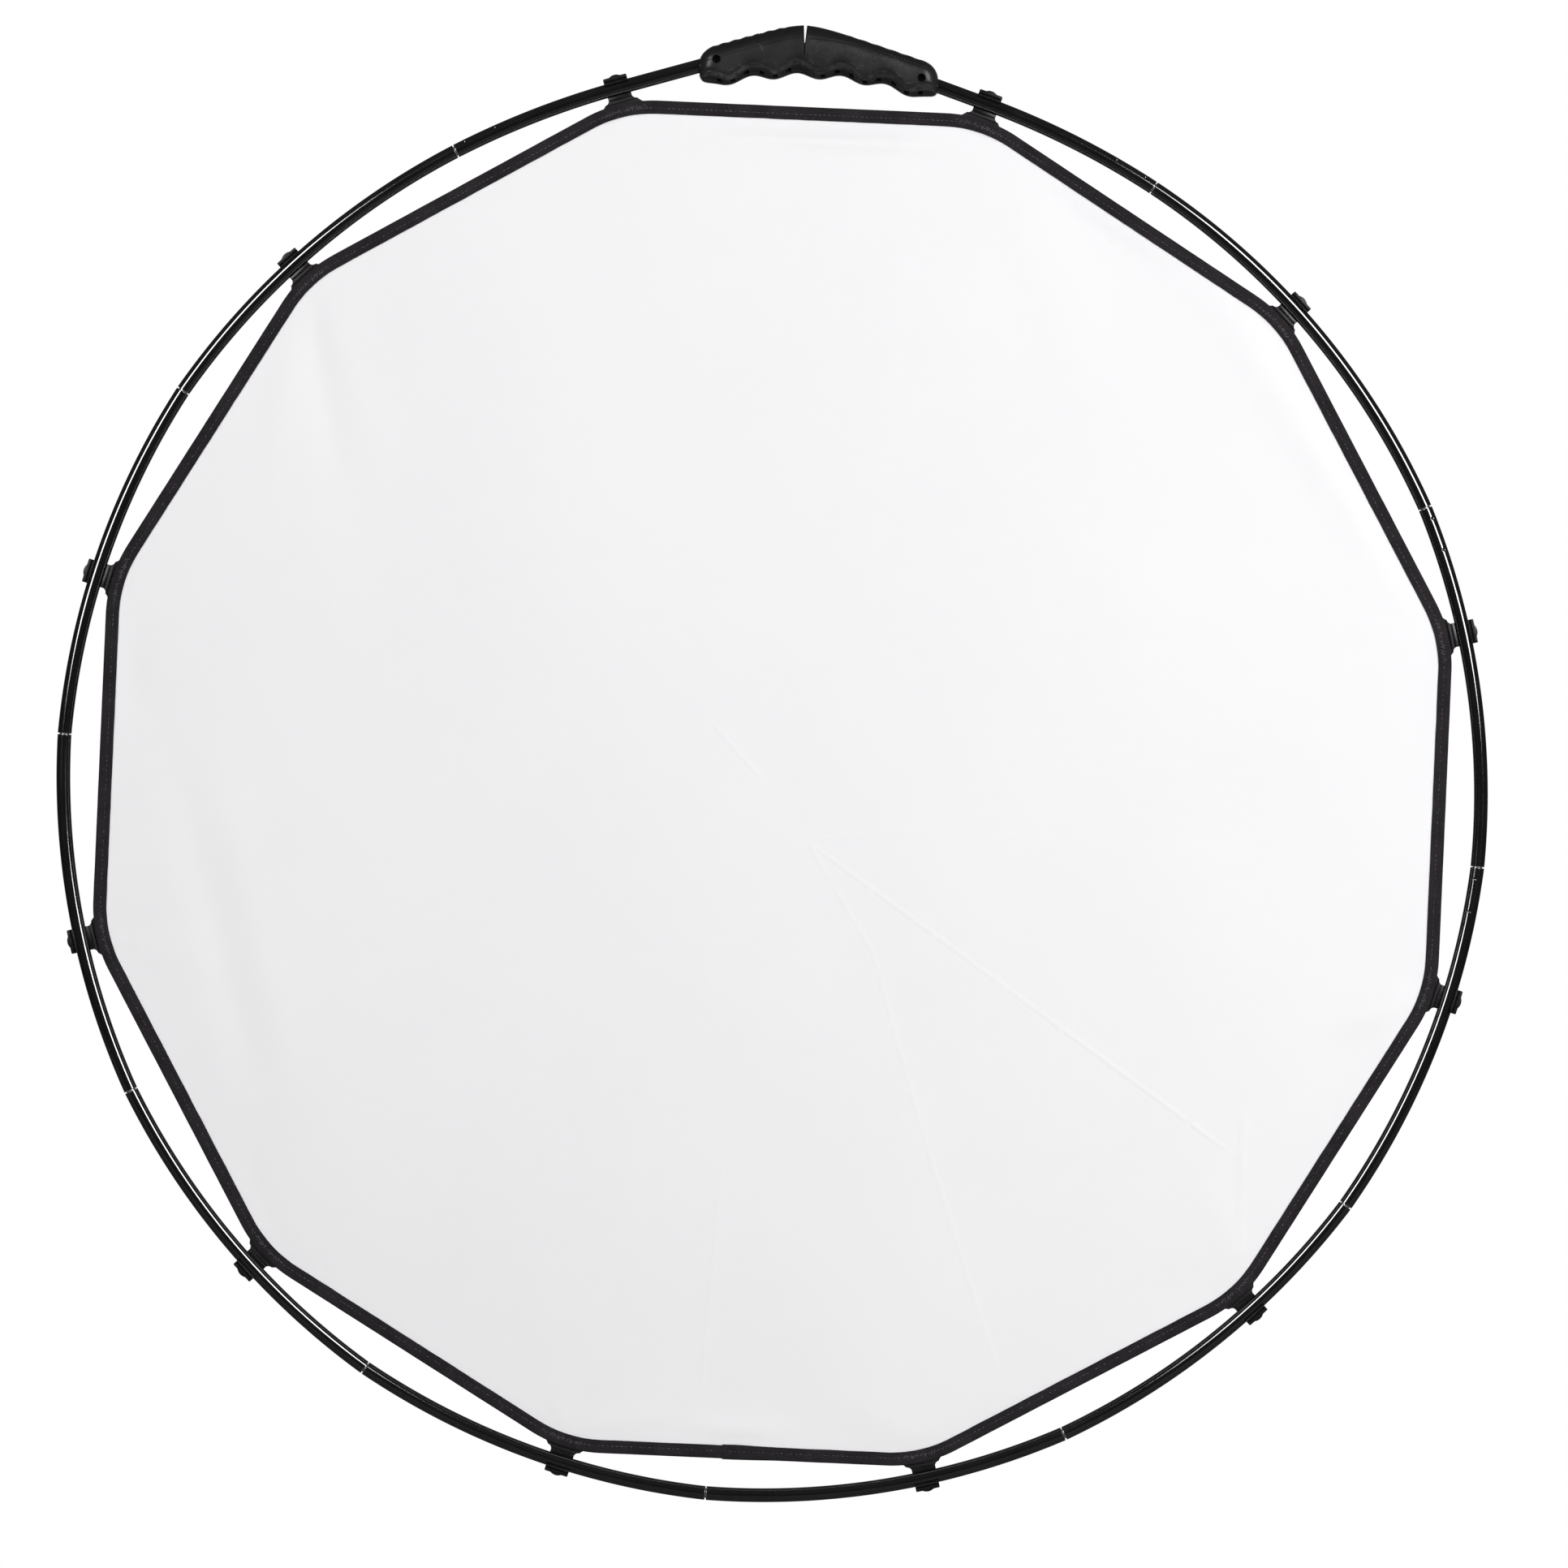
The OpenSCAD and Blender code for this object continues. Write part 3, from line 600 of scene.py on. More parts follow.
def clip_frame(k):
    """A clip's middle on its tube's line, and the heading of its outward side."""
    if 1 < k < 12:
        centre, radius, *_ = bent(k)
    else:
        side = 1 if k == 1 else -1
        centre, radius, *_ = end_bend(side)
        centre = centre * [side, 1]
    d = way((k - 0.5) * 30)
    t = centre @ d
    p = (t + math.sqrt(radius ** 2 - centre @ centre + t * t)) * d
    return p, float(deg(math.atan2(*(p - centre))))


def hoop_body(k):
    return f"{SIDE[1 if k <= 6 else -1]}_hoop"


# ---- tubes ----

AROUND = np.r_[-200:60:7.5, 60:120:3.0, 120:160:7.5]    # a ring's angles, closer at the marks
LIPS = np.array([(0, BORE_R + 0.12), (0, 3.8), (0.05, 3.92), (0.16, 3.985), (0.35, TUBE_R)])
RIM = (3.4, 3.99)                   # the radii that turning has laid bare
CRIMPS, CRIMP_R, CRIMP_DEEP = (7, 26), 1.05, 0.4    # punch marks: how far from a tube's joint
TURNED = {1: 60, 3: 72, 4: 104, 9: 60, 10: 155, 12: 60}     # the way they face
TO_BACK = 250                       # the way the rest face


def tube(k):
    at, length = line_of(k)
    marks = [length + GAP / 2 - x if k == 1 else x - GAP / 2 for x in CRIMPS] if k != 2 else []
    body = np.concatenate([np.arange(0.6, length - 0.6, 3.0), [length - 0.6]]
                          + [m + np.arange(-1.1, 1.15, 0.22) for m in marks])
    body = np.unique(np.round(body, 3))
    inner = np.linspace(length - 0.12, 0.12, 60)
    s = np.concatenate([LIPS[:, 0], body, length - LIPS[::-1, 0], inner])
    r = np.concatenate([LIPS[:, 1], np.full(len(body), TUBE_R), LIPS[::-1, 1],
                        np.full(len(inner), BORE_R)])
    radius = np.repeat(r[:, None], len(AROUND), 1)
    for m in marks:
        d = np.hypot((s - m)[:, None], rad(AROUND - 90) * TUBE_R) / CRIMP_R
        dent = CRIMP_DEEP * (1 - np.minimum(d, 1) ** 2) ** 2
        radius -= np.where((radius > 3.9) & (d < 1), dent, 0)
    rim = np.repeat(((r > RIM[0]) & (r < RIM[1]))[:, None], len(AROUND), 1)
    rings = round_rings(*at(s), AROUND - 90 + TURNED.get(k, TO_BACK), radius)
    shape = Shape().grid(rings, s / 1000, rad(AROUND) * TUBE_R / 1000, close=True,
                         marks={"rim": rim})
    piece = shape.make(f"tube_{k:02d}_black", [TUBE], sharp=40)
    stand_for(piece, f"hoop_tube_{k:02d}", hoop_body(k))


for k in range(1, 13):
    tube(k)

# CAD nodes that keep their own shape
for start, material in (("ferrule", ALLOY), ("grip_tongue", RUBBER), ("grip_screw", STEEL)):
    for name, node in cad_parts.items():
        if name.startswith(start):
            node.data.materials.clear()
            node.data.materials.append(material)


# ---- elastic cord, in two lengths that part at the lowest joint ----

CORD_R, CORD_LINE = 1.0, R - 0.5
HOOK = 1.25 + CORD_R + 0.1          # the cord's line round a screw
TAIL, BACK_IN_LINE = 8, 16          # how far from the screw it ends, and joins the tube's line


def end_route(side):
    """The cord's way out of the grip: its tail, its hook round the screw, and the end tube."""
    screw = screw_at(side)
    points = [screw + x * run_dir - HOOK * run_normal for x in np.linspace(TAIL, 1, 6)]
    points += [screw - HOOK * (math.cos(t) * run_normal + math.sin(t) * run_dir)
               for t in np.linspace(0, math.pi, 17)]
    points += [screw + BACK_IN_LINE * t * run_dir
               + HOOK * (1 + math.cos(math.pi * t)) / 2 * run_normal
               for t in np.linspace(0.06, 1, 9)]
    centre, radius, angle, to = end_bend(side)
    begin, bend = screw + BACK_IN_LINE * run_dir, run_start + to * run_dir
    points += [begin + t * (bend - begin) for t in np.linspace(0, 1, 10)[1:]]
    points += [centre + radius * way(SLOPE + angle * t) for t in np.linspace(0.05, 0.95, 24)]
    return np.array(points) * [side, 1]


def cord(side):
    low = joint_at(6)
    arc = np.arange(joint_at(1 if side > 0 else 11) + side * 0.4, low, side * 0.6)
    last = low - side * 0.02        # the halves end clear of each other when the hoop opens
    path = np.concatenate([end_route(side), CORD_LINE * way(np.append(arc, last))])
    tangent = unit(np.gradient(path, axis=0))
    n = np.stack([-tangent[:, 1], tangent[:, 0]], -1)
    rings = round_rings(path, n, np.arange(0, 360, 30), CORD_R)
    shape = Shape().grid(rings, way_along(path) / 1000, np.arange(12) / 12, caps=True)
    piece = shape.make(f"elastic_cord_{SIDE[side]}", [CORD])
    stand_for(piece, "shock_cord", f"{SIDE[side]}_hoop")


cord(1)
cord(-1)


# ---- clips: one mesh, placed twelve times ----

JAW_R, JAW_OUT, LIP_LAP = TUBE_R + 0.1, TUBE_R + 2.0, 1.7
LIP = float(deg(math.acos((TUBE_R - LIP_LAP) / JAW_R)))     # where the jaw ends, past the side
LIP_Z = JAW_R * math.sin(rad(LIP)) + 0.95
TAB_OUT, BUMP_W, BUMP_H = TUBE_R + 2.5, 6.5, 1
PLATE_TOP, PLATE_LOW = -HALF_T - 0.3, -HALF_T - 1.7
PLATE_OUT, PLATE_IN, PLATE_W = CORNER_R + 1.9, CORNER_R - TAPE_W + 0.4, 26.5
NECK_W, FILLET = CLIP_LEN - 0.3, 3
TACKS, TACK_LINE = 33, CORNER_R - 4.2


def arc_points(radius, angles):
    """Points about the middle of the cover's corner, in a clip's own frame."""
    return np.array([0, -INSET - CORNER_R]) + np.asarray(radius)[..., None] * way(angles)


def bar(half, low, high):
    return [[half, low], [half, high], [-half, high], [-half, low]]


def clip_shape():
    """A clip, with its tube's line along X and its outward side up."""
    shape, half = Shape(), CLIP_LEN / 2
    turn = np.linspace(170, 360 + LIP, 46)
    jaw = soften(np.concatenate([ring(JAW_OUT, turn), ring(JAW_R, turn[::-1])]), 0.45)
    shape.prism(jaw, -half, half, 0.3, axes=(2, 0, 1))
    # the finger tab with its bump, and a low rib along the tab's front
    foot, bump_r = JAW_R + 0.5, (BUMP_W ** 2 / 4 + BUMP_H ** 2) / (2 * BUMP_H)
    x = np.linspace(3.2, -3.2, 17)
    bump = np.stack([x, TAB_OUT + BUMP_H - bump_r + np.sqrt(bump_r ** 2 - x ** 2)], -1)
    tab = np.concatenate([[[half, foot], [half, TAB_OUT]], bump,
                          [[-half, TAB_OUT], [-half, foot]]])
    shape.prism(soften(tab, 0.6, least=12), -2, LIP_Z, 0.4)
    shape.prism(soften(bar(half - 0.5, 4.95, 5.45), 0.2), LIP_Z - 0.5, LIP_Z + 0.22, 0.12)
    # the neck, filleted to the plate
    narrow = NECK_W / 2
    shoulder = INSET + CORNER_R - math.sqrt(PLATE_OUT ** 2 - (narrow + FILLET) ** 2) + 0.3
    cove = np.array([narrow + FILLET, FILLET - shoulder]) - FILLET * way(np.linspace(90, 0, 10))
    neck = np.concatenate([[[narrow, -foot]], cove])
    shape.prism(np.concatenate([neck, neck[::-1] * [-1, 1]]), PLATE_LOW, 0, 0.25)
    # the sewn plate, whose ears draw in
    across = np.linspace(-PLATE_W / 2, PLATE_W / 2, 61)
    outer = PLATE_OUT - 2.7 * smooth(np.abs(across), 8.4, PLATE_W / 2)
    plate = np.concatenate([arc_points(outer, deg(across / PLATE_OUT)),
                            arc_points(PLATE_IN, deg(np.linspace(13.0, -13.0, 25) / PLATE_OUT))])
    shape.prism(soften(plate, 0.8, least=30), PLATE_LOW, PLATE_TOP, 0.3)
    # a thin bead where the neck leaves the jaw
    shape.prism(bar(narrow, -6.15, -5.75), -1.0, 0.55, 0.18)
    # zigzag tacks that sew the plate through the tape, front and back
    hand = np.random.default_rng(3)
    for z, side in ((HALF_T + 0.05, 1), (PLATE_LOW, -1)):
        a = np.linspace(-14.5, 14.5, TACKS) + hand.uniform(-0.45, 0.45, TACKS)
        zigzag = np.where(np.arange(TACKS) % 2, 1.0, -1.0) + hand.uniform(-0.55, 0.55, TACKS)
        p = flat3(arc_points(TACK_LINE + zigzag, deg(a / CORNER_R)), z)
        shape.threads(p[:-1], p[1:], side, r=0.16, rise=0.25)
    return shape


clip_data = clip_shape().mesh("clip_01_detailed", [CLIP, THREAD], sharp=28, local=True)
for k in range(1, 13):
    p, heading = clip_frame(k)
    x, y = way(heading + 90), way(heading)
    piece = add_object(f"clip_{k:02d}_detailed", clip_data)
    piece.matrix_world = placed(Vector(row(flat3(p))), (x[0], 0, x[1]), (y[0], 0, y[1]),
                                (0, -1, 0))
    stand_for(piece, f"cover_clip_{k:02d}", f"clip_{k:02d}")


# ---- the cover's edge line, clockwise, with its inward normals ----

CORNER_STEPS, EDGE_STEP, STITCH_LEN = 20, 4, 2.7
sharp_out = CORNER_R * (1 / math.cos(rad(15)) - 1)
corners = np.array([(np.linalg.norm(clip_frame(k)[0]) - INSET + sharp_out) * way((k - 0.5) * 30)
                    for k in range(1, 13)])


def corner_arc(i):
    """Where a corner's rounding begins, its centre and its angles."""
    before, p, after = (corners[j % 12] for j in (i - 1, i, i + 1))
    u, v = unit(before - p), unit(after - p)
    half = math.acos(u @ v) / 2
    first = p + CORNER_R / math.tan(half) * u
    centre = p + CORNER_R / math.sin(half) * unit(u + v)
    begin, sweep = deg(math.atan2(*(first - centre))), 180 - 2 * deg(half)
    return first, centre, begin + sweep * np.linspace(0, 1, CORNER_STEPS + 1)


edge_p, edge_a, corner_mid = [], [], []
for i in range(12):
    _, centre, angles = corner_arc(i)
    corner_mid.append(len(edge_p) + CORNER_STEPS // 2)
    edge_p += list(centre + CORNER_R * way(angles))
    edge_a += list(angles)
    last, stop = edge_p[-1], corner_arc(i + 1)[0]
    steps = int(np.linalg.norm(stop - last) / EDGE_STEP)
    edge_p += [last + (stop - last) * t / steps for t in range(1, steps)]
    edge_a += [angles[-1]] * (steps - 1)
edge_p, edge_a = np.array(edge_p), deg(np.unwrap(rad(edge_a)))
edge_s = way_along(np.vstack([edge_p, edge_p[:1]]))
EDGE = edge_s[-1]
wide_s = np.concatenate([edge_s[:-1] - EDGE, edge_s[:-1], edge_s[:-1] + EDGE])
wide_p = np.vstack([edge_p] * 3)
wide_a = np.concatenate([edge_a - 360, edge_a, edge_a + 360])
MID_S = np.append(edge_s[corner_mid], edge_s[corner_mid[0]] + EDGE)
STITCH = EDGE / round(EDGE / STITCH_LEN)


def edge_at(s):
    """Point on the cover's edge and its inward normal."""
    p = np.stack([np.interp(s, wide_s, wide_p[:, 0]), np.interp(s, wide_s, wide_p[:, 1])], -1)
    return p, -way(np.interp(s, wide_s, wide_a))


def corner_frame(k):
    """A corner's middle on the edge, the way inward from it, and the way clockwise."""
    a, inward = edge_at(MID_S[k - 1])
    return a, inward, np.array([-inward[1], inward[0]])


# The cloth and tape of each corner are made as pieces of their own, cut off past a line.
# That line runs from DEEP inside the corner to the edge at PIECE on either side.
PIECE, DEEP, HELD = 60.0, 55.0, 10.0
a, inward, across = corner_frame(4)
b = edge_at(MID_S[3] + PIECE)[0] - a
cut_dir = unit(np.array([DEEP - b @ inward, b @ across]))
CUT = float(DEEP * cut_dir[1])


def follow_clip(piece, k):
    """Bakes the placement of a corner's piece, after or before its middle, into its mesh."""
    a, inward, across = corner_frame(k)
    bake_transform(piece)


def follow_halves(piece):
    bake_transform(piece)


# ---- binding tape ----

# the tape's section, as its way inward from the cover's edge and its height, front then back
section = np.array([(7.6, 0.18), (7.62, 0.5), (7.5, 0.66), (7.1, 0.7), (6.2, 0.71), (5.2, 0.71),
                    (4.7, 0.67), (4.4, 0.63), (4.1, 0.67), (3.6, 0.72), (2.6, 0.74), (1.5, 0.73),
                    (0.7, 0.66), (0.25, 0.5), (0.03, 0.25), (0.0, 0.0)])
section = np.concatenate([section, section[-2::-1] * [1, -1]])
SEAM, SEAM_Z = 4.4, 0.66
rng = np.random.default_rng(7)
waves = [(rng.integers(20, 160), rng.uniform(0, 6.28), rng.uniform(0.3, 1)) for _ in range(9)]


def wander(s, shift):
    """A slow, closed wobble along the edge, from -1 to 1."""
    total = sum(w for _, _, w in waves)
    wobble = sum(w * np.sin(2 * math.pi * n * s / EDGE + f + shift) for n, f, w in waves) / total
    return wobble[:, None]


def photo_point(px, py):
    """A point of the photo, at 1100 pixels wide, in flat mm."""
    px, py = px * PHOTO_PX / 1100 - RING_PX[0], RING_PX[1] - py * PHOTO_PX / 1100
    return PHOTO_MM * np.array([px * roll_cos - py * roll_sin, px * roll_sin + py * roll_cos])


# where the tape's last end is cut off, on top of its first end
LAP = edge_s[np.argmin(np.linalg.norm(edge_p - photo_point(505, 1018), axis=1))]


def tape(name, s0, s1):
    """The tape and its stitches over one length of the edge."""
    s = np.concatenate([np.arange(s0, s1, 1.35), [s1]])
    if s0 < LAP < s1:
        s = np.concatenate([s, LAP + np.array([-0.5, -0.4, -0.25, -0.1, 0.0])])
    s = np.unique(s)
    p, inward = edge_at(s)
    stitch = 0.5 + 0.5 * wave(s[:, None], STITCH)
    lap = (window(s, LAP - 34, LAP - 8, LAP - 0.4, LAP) * (s < LAP + 0.01))[:, None]
    d, z = section[:, 0], section[:, 1]
    d = d + (d > 6) * 0.13 * wander(s, 1.0) + (d < 1) * 0.05 * wander(s, 2.0)
    # over its first end the tape is thicker, and wider on both sides
    d = d + lap * np.where(d > SEAM, 0.55, -0.45) * smooth(np.abs(d - SEAM), 1.5, 3.0)
    z = z * (1 + 0.3 * lap)
    valley = 0.05 * stitch * hump(d - SEAM, 0.55)
    z = z + np.sign(z) * (0.035 * wander(s, 3.0) * (np.abs(z) > 0.4) - valley)
    rings = flat3(p)[:, None] + flat3(inward)[:, None] * d[..., None] + TO_VIEWER * z[..., None]
    shape = Shape().grid(rings, s / 1000, way_along(section) / 1000, caps=True)
    a = np.arange(math.ceil(s0 / STITCH), math.ceil(s1 / STITCH)) * STITCH
    (p0, n0), (p1, n1) = edge_at(a + 0.3), edge_at(a + 2.1)
    lean = 0.16 * np.sin(a * 1.7)[:, None]
    for side in (1, -1):
        shape.threads(flat3(p0 + n0 * (SEAM + lean), side * SEAM_Z),
                      flat3(p1 + n1 * (SEAM - lean), side * SEAM_Z), side, r=0.19, rise=0.55)
    return stand_for(shape.make(name, [TAPE, THREAD], sharp=50), "cover_binding")


for k in range(1, 13):
    mid = MID_S[k - 1]
    for sign, word in ((1, "after"), (-1, "before")):
        piece = tape(f"binding_corner_{k:02d}_{word}", *sorted([mid, mid + sign * PIECE]))
        follow_clip(piece, k)
    piece = tape(f"binding_edge_{k:02d}", mid + PIECE, MID_S[k] - PIECE)
    if k in (6, 12):
        follow_halves(piece)
    else:
        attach(piece, hoop_body(k))


# ---- fabric ----

edge_dir = unit(np.roll(corners, -1, 0) - corners)
edge_in = np.stack([edge_dir[:, 1], -edge_dir[:, 0]], -1)


def from_edge(x, y):
    """How far inside the cover's edge a point lies."""
    return np.min([n[0] * x + n[1] * y - a @ n for n, a in zip(edge_in, corners)], axis=0)


def on_cover(table):
    return [(photo_point(x0, y0), photo_point(x1, y1), h, w) for x0, y0, x1, y1, h, w in table]


# Creases that the folded cover keeps, and soft folds that its clips pull: each from one point
# of the photo to another, with its height and half width in mm.
creases = on_cover([
    (500, 508, 536, 548, 0.26, 1.3), (566, 590, 868, 812, 0.25, 1.2),
    (566, 590, 612, 668, 0.2, 1.2), (612, 668, 652, 812, 0.2, 1.2),
    (652, 812, 700, 962, 0.22, 1.3), (566, 590, 640, 582, 0.15, 1.4),
    (640, 582, 905, 600, 0.11, 1.6), (440, 722, 330, 884, 0.18, 1.3),
    (506, 820, 492, 975, 0.2, 1.3), (470, 640, 566, 590, 0.12, 1.5),
    (872, 780, 870, 880, 0.45, 2.2), (640, 160, 608, 420, 0.12, 2.0)])
folds = on_cover([
    (700, 110, 768, 270, 1.5, 18), (752, 135, 835, 250, -1.5, 22), (862, 222, 970, 394, 2.4, 11),
    (207, 215, 190, 345, 1.3, 9), (214, 210, 236, 330, -1.5, 8), (229, 208, 264, 318, 1.0, 9),
    (205, 270, 225, 420, 0.5, 12), (124, 545, 177, 755, -1.3, 10), (154, 545, 204, 755, 1.1, 10),
    (108, 560, 160, 760, 0.4, 10), (88, 428, 92, 495, -1.6, 9), (992, 699, 948, 722, 2.4, 9),
    (985, 745, 925, 812, -1.2, 12), (490, 1003, 545, 1005, 1.4, 7), (530, 96, 655, 100, 2.8, 7),
    (470, 95, 540, 104, 0.9, 9), (185, 880, 170, 790, -1.0, 10), (876, 900, 840, 830, 0.9, 9),
    (650, 1012, 600, 985, 0.7, 9), (410, 1005, 470, 990, 0.8, 9),
    (1010, 450, 985, 560, -0.7, 12)])
CREASE_FADE, FOLD_FADE, SWELL = 0.06, 0.35, 0.17
swells = [(unit(rng.uniform(-1, 1, 2)), rng.uniform(0, 6.28), rng.uniform(120, 300))
          for _ in range(8)]
pulls = [(k, rng.uniform(-32, 32), rng.uniform(0.15, 0.45) * rng.choice([-1, 1]),
          rng.uniform(60, 130)) for k in range(1, 13) for _ in range(4)]


def ridge(x, y, a, b, width, fade):
    """A soft ridge from a to b, which fades out by a share of its length at each end."""
    d = b - a
    length = np.linalg.norm(d)
    t = ((x - a[0]) * d[0] + (y - a[1]) * d[1]) / length ** 2
    off = ((x - a[0]) * d[1] - (y - a[1]) * d[0]) / length
    return hump(off, width) * window(t, -fade, fade, 1 - fade, 1 + fade)


def cloth_height(x, y):
    """How far the cloth's folds stand out towards the viewer."""
    h = sum(up * ridge(x, y, a, b, width, FOLD_FADE) for a, b, up, width in folds)
    for d, phase, pitch in swells:
        h += SWELL * np.sin(2 * math.pi * (x * d[0] + y * d[1]) / pitch + phase)
    for k, lean, up, reach in pulls:
        a, inward, across = corner_frame(k)
        u = (x - a[0]) * inward[0] + (y - a[1]) * inward[1]
        v = (x - a[0]) * across[0] + (y - a[1]) * across[1]
        ahead = np.maximum(u, 1e-3)
        fan = hump(v - ahead * math.tan(rad(lean)), 2.5 + ahead * 0.13)
        h += up * fan * smooth(u, 8, 24) * hump(u, reach)
    h += sum(up * ridge(x, y, a, b, width, CREASE_FADE) for a, b, up, width in creases)
    return h * smooth(from_edge(x, y), 7.0, 20)


def cut_lines():
    """The lines that cut the corners' pieces from the cloth and from each other."""
    lines = []
    for k in range(1, 13):
        a, inward, across = corner_frame(k)
        tip = a + DEEP * inward
        for sign in (1, -1):
            t = cut_dir[1] * across * sign - cut_dir[0] * inward
            ends = tip + t * np.linspace(0, 140, 281)[:, None]
            stop = ends[from_edge(*ends.T) > FOLD + 0.2][-1]
            lines.append(tip + (stop - tip) * np.linspace(0, 1, 14)[:, None])
        lines.append(a + np.linspace(FOLD + 0.3, DEEP, 14)[:, None] * inward)
    return lines


def clear(points, of, gap):
    """The points that keep a gap from others, and lie well inside the cover's edge."""
    points = points[from_edge(*points.T) > 4]
    far = [((block[:, None] - of) ** 2).sum(-1).min(1) > gap ** 2
           for block in np.array_split(points, 20)]
    return points[np.concatenate(far)]


def inner_points(fixed):
    """Points along the creases, and a staggered grid that keeps clear of them."""
    fine = []
    for a, b, _, width in creases:
        d, length = unit(b - a), np.linalg.norm(b - a)
        t = np.arange(-6, length + 6, 5)[:, None]
        fine += [a + d * t + np.array([-d[1], d[0]]) * off * width
                 for off in (-1.9, -0.95, 0, 0.95, 1.9)]
    fine = clear(np.concatenate(fine), fixed, 1.5)
    x, y = np.meshgrid(np.arange(-400, 400, 6.5), np.arange(-400, 400, 5.6))
    x[1::2] += 3.25
    grid = np.stack([x.ravel(), y.ravel()], -1)
    return np.concatenate([fine, clear(clear(grid, fixed, 2.6), fine, 2.0)])


def cloth_triangles():
    """The cloth's points and triangles, each triangle's area, and the piece that owns it: 0 for
    the main sheet, k or -k for the part of corner k after or before its middle."""
    p, n = edge_at(np.arange(0, EDGE, EDGE / round(EDGE / 5.0)))
    fixed, edges = [p + n * FOLD], [(i, (i + 1) % len(p)) for i in range(len(p))]
    start = len(p)
    for line in cut_lines():
        fixed.append(line)
        edges += [(i, i + 1) for i in range(start, start + len(line) - 1)]
        start += len(line)
    fixed = np.concatenate(fixed)
    points = [Vector(q) for q in np.concatenate([fixed, inner_points(fixed)])]
    co, _, tris, *_ = delaunay_2d_cdt(points, edges, [], 0, 1e-5)
    co, tris = np.array([q[:] for q in co]), np.array([t for t in tris if len(t) == 3])
    area = np.cross(co[tris[:, 1]] - co[tris[:, 0]], co[tris[:, 2]] - co[tris[:, 0]]) / 2
    tris[area < 0] = tris[area < 0][:, ::-1]
    area, middle = np.abs(area), co[tris].mean(1)
    keep = (area > 1e-4) & (from_edge(*middle.T) > FOLD - 0.05)
    tris, middle, area = tris[keep], middle[keep], area[keep]
    owner = np.zeros(len(tris), int)
    for k in range(1, 13):
        a, inward, across = corner_frame(k)
        u, v = (middle - a) @ inward, (middle - a) @ across
        within = ((cut_dir[0] * np.abs(v) + cut_dir[1] * u < CUT) & (np.abs(v) < PIECE + 10)
                  & (u < DEEP + 5))
        owner[within] = np.where(v[within] > 0, k, -k)
    return co, tris, area, owner


def fabric():
    co, tris, area, owner = cloth_triangles()
    x, y, e = co[:, 0], co[:, 1], 0.05
    z = cloth_height(x, y)
    slope_x = (cloth_height(x + e, y) - cloth_height(x - e, y)) / (2 * e)
    slope_y = (cloth_height(x, y + e) - cloth_height(x, y - e)) / (2 * e)
    normal = unit(np.stack([-slope_x, -np.ones(len(co)), -slope_y], -1))     # in the row frame
    made = []
    for who in [0] + [sign * k for k in range(1, 13) for sign in (1, -1)]:
        used, index = np.unique(tris[owner == who], return_inverse=True)
        k = abs(who)
        part = f"corner_{k:02d}_{'a' if who > 0 else 'b'}" if k else "main"
        mesh = bpy.data.meshes.new(f"cover_fabric_{part}")
        mesh.from_pydata(row(flat3(co[used], z[used])).tolist(), [], index.reshape(-1, 3).tolist())
        mesh.materials.append(CLOTH)
        mesh.shade_smooth()
        mesh.normals_split_custom_set_from_vertices(normal[used].tolist())
        piece = add_object(mesh.name, mesh)
        if k:
            follow_clip(piece, k)
        else:
            follow_halves(piece)
        stand_for(piece, "cover_fabric")
        made.append((piece, float(area[owner == who].sum()) / 1e6))
    return made


sheets = fabric()


# ---- grip ----

TOP, PEAK = 29.7, 12                # its top above R at the split, rounded over this length
FINGER, FIRST_BUMP = 25.5, 9.0      # pitch of the finger grooves, and a bump between two
GROOVE, UNDER, SAG = 3.2, -0.7, 7.3     # a groove's depth; the bumps above R, and their sag
DEPTH, END_DEPTH, END_ROUND = 24.5, 21, 9
OVAL, END_POWER, END_SHARE = 0.8, 2.4, 0.93     # how square the section and the end are
POCKET_PITCH = 8.0


def grip_upper(side, x):
    slope = math.tan(rad(TOP_SLOPE[side]))
    return R + TOP - slope * (np.sqrt(x * x + PEAK ** 2) - PEAK)


def scallop(u):
    """0 on a finger bump and 1 in a groove."""
    return (1 - wave(u - FIRST_BUMP, FINGER)) / 2


def grip_lower(u):
    return R + UNDER - SAG * ((u - 5) / 55) ** 2 + GROOVE * scallop(u)


def bulge(v):
    return np.sign(v) * np.abs(v) ** OVAL


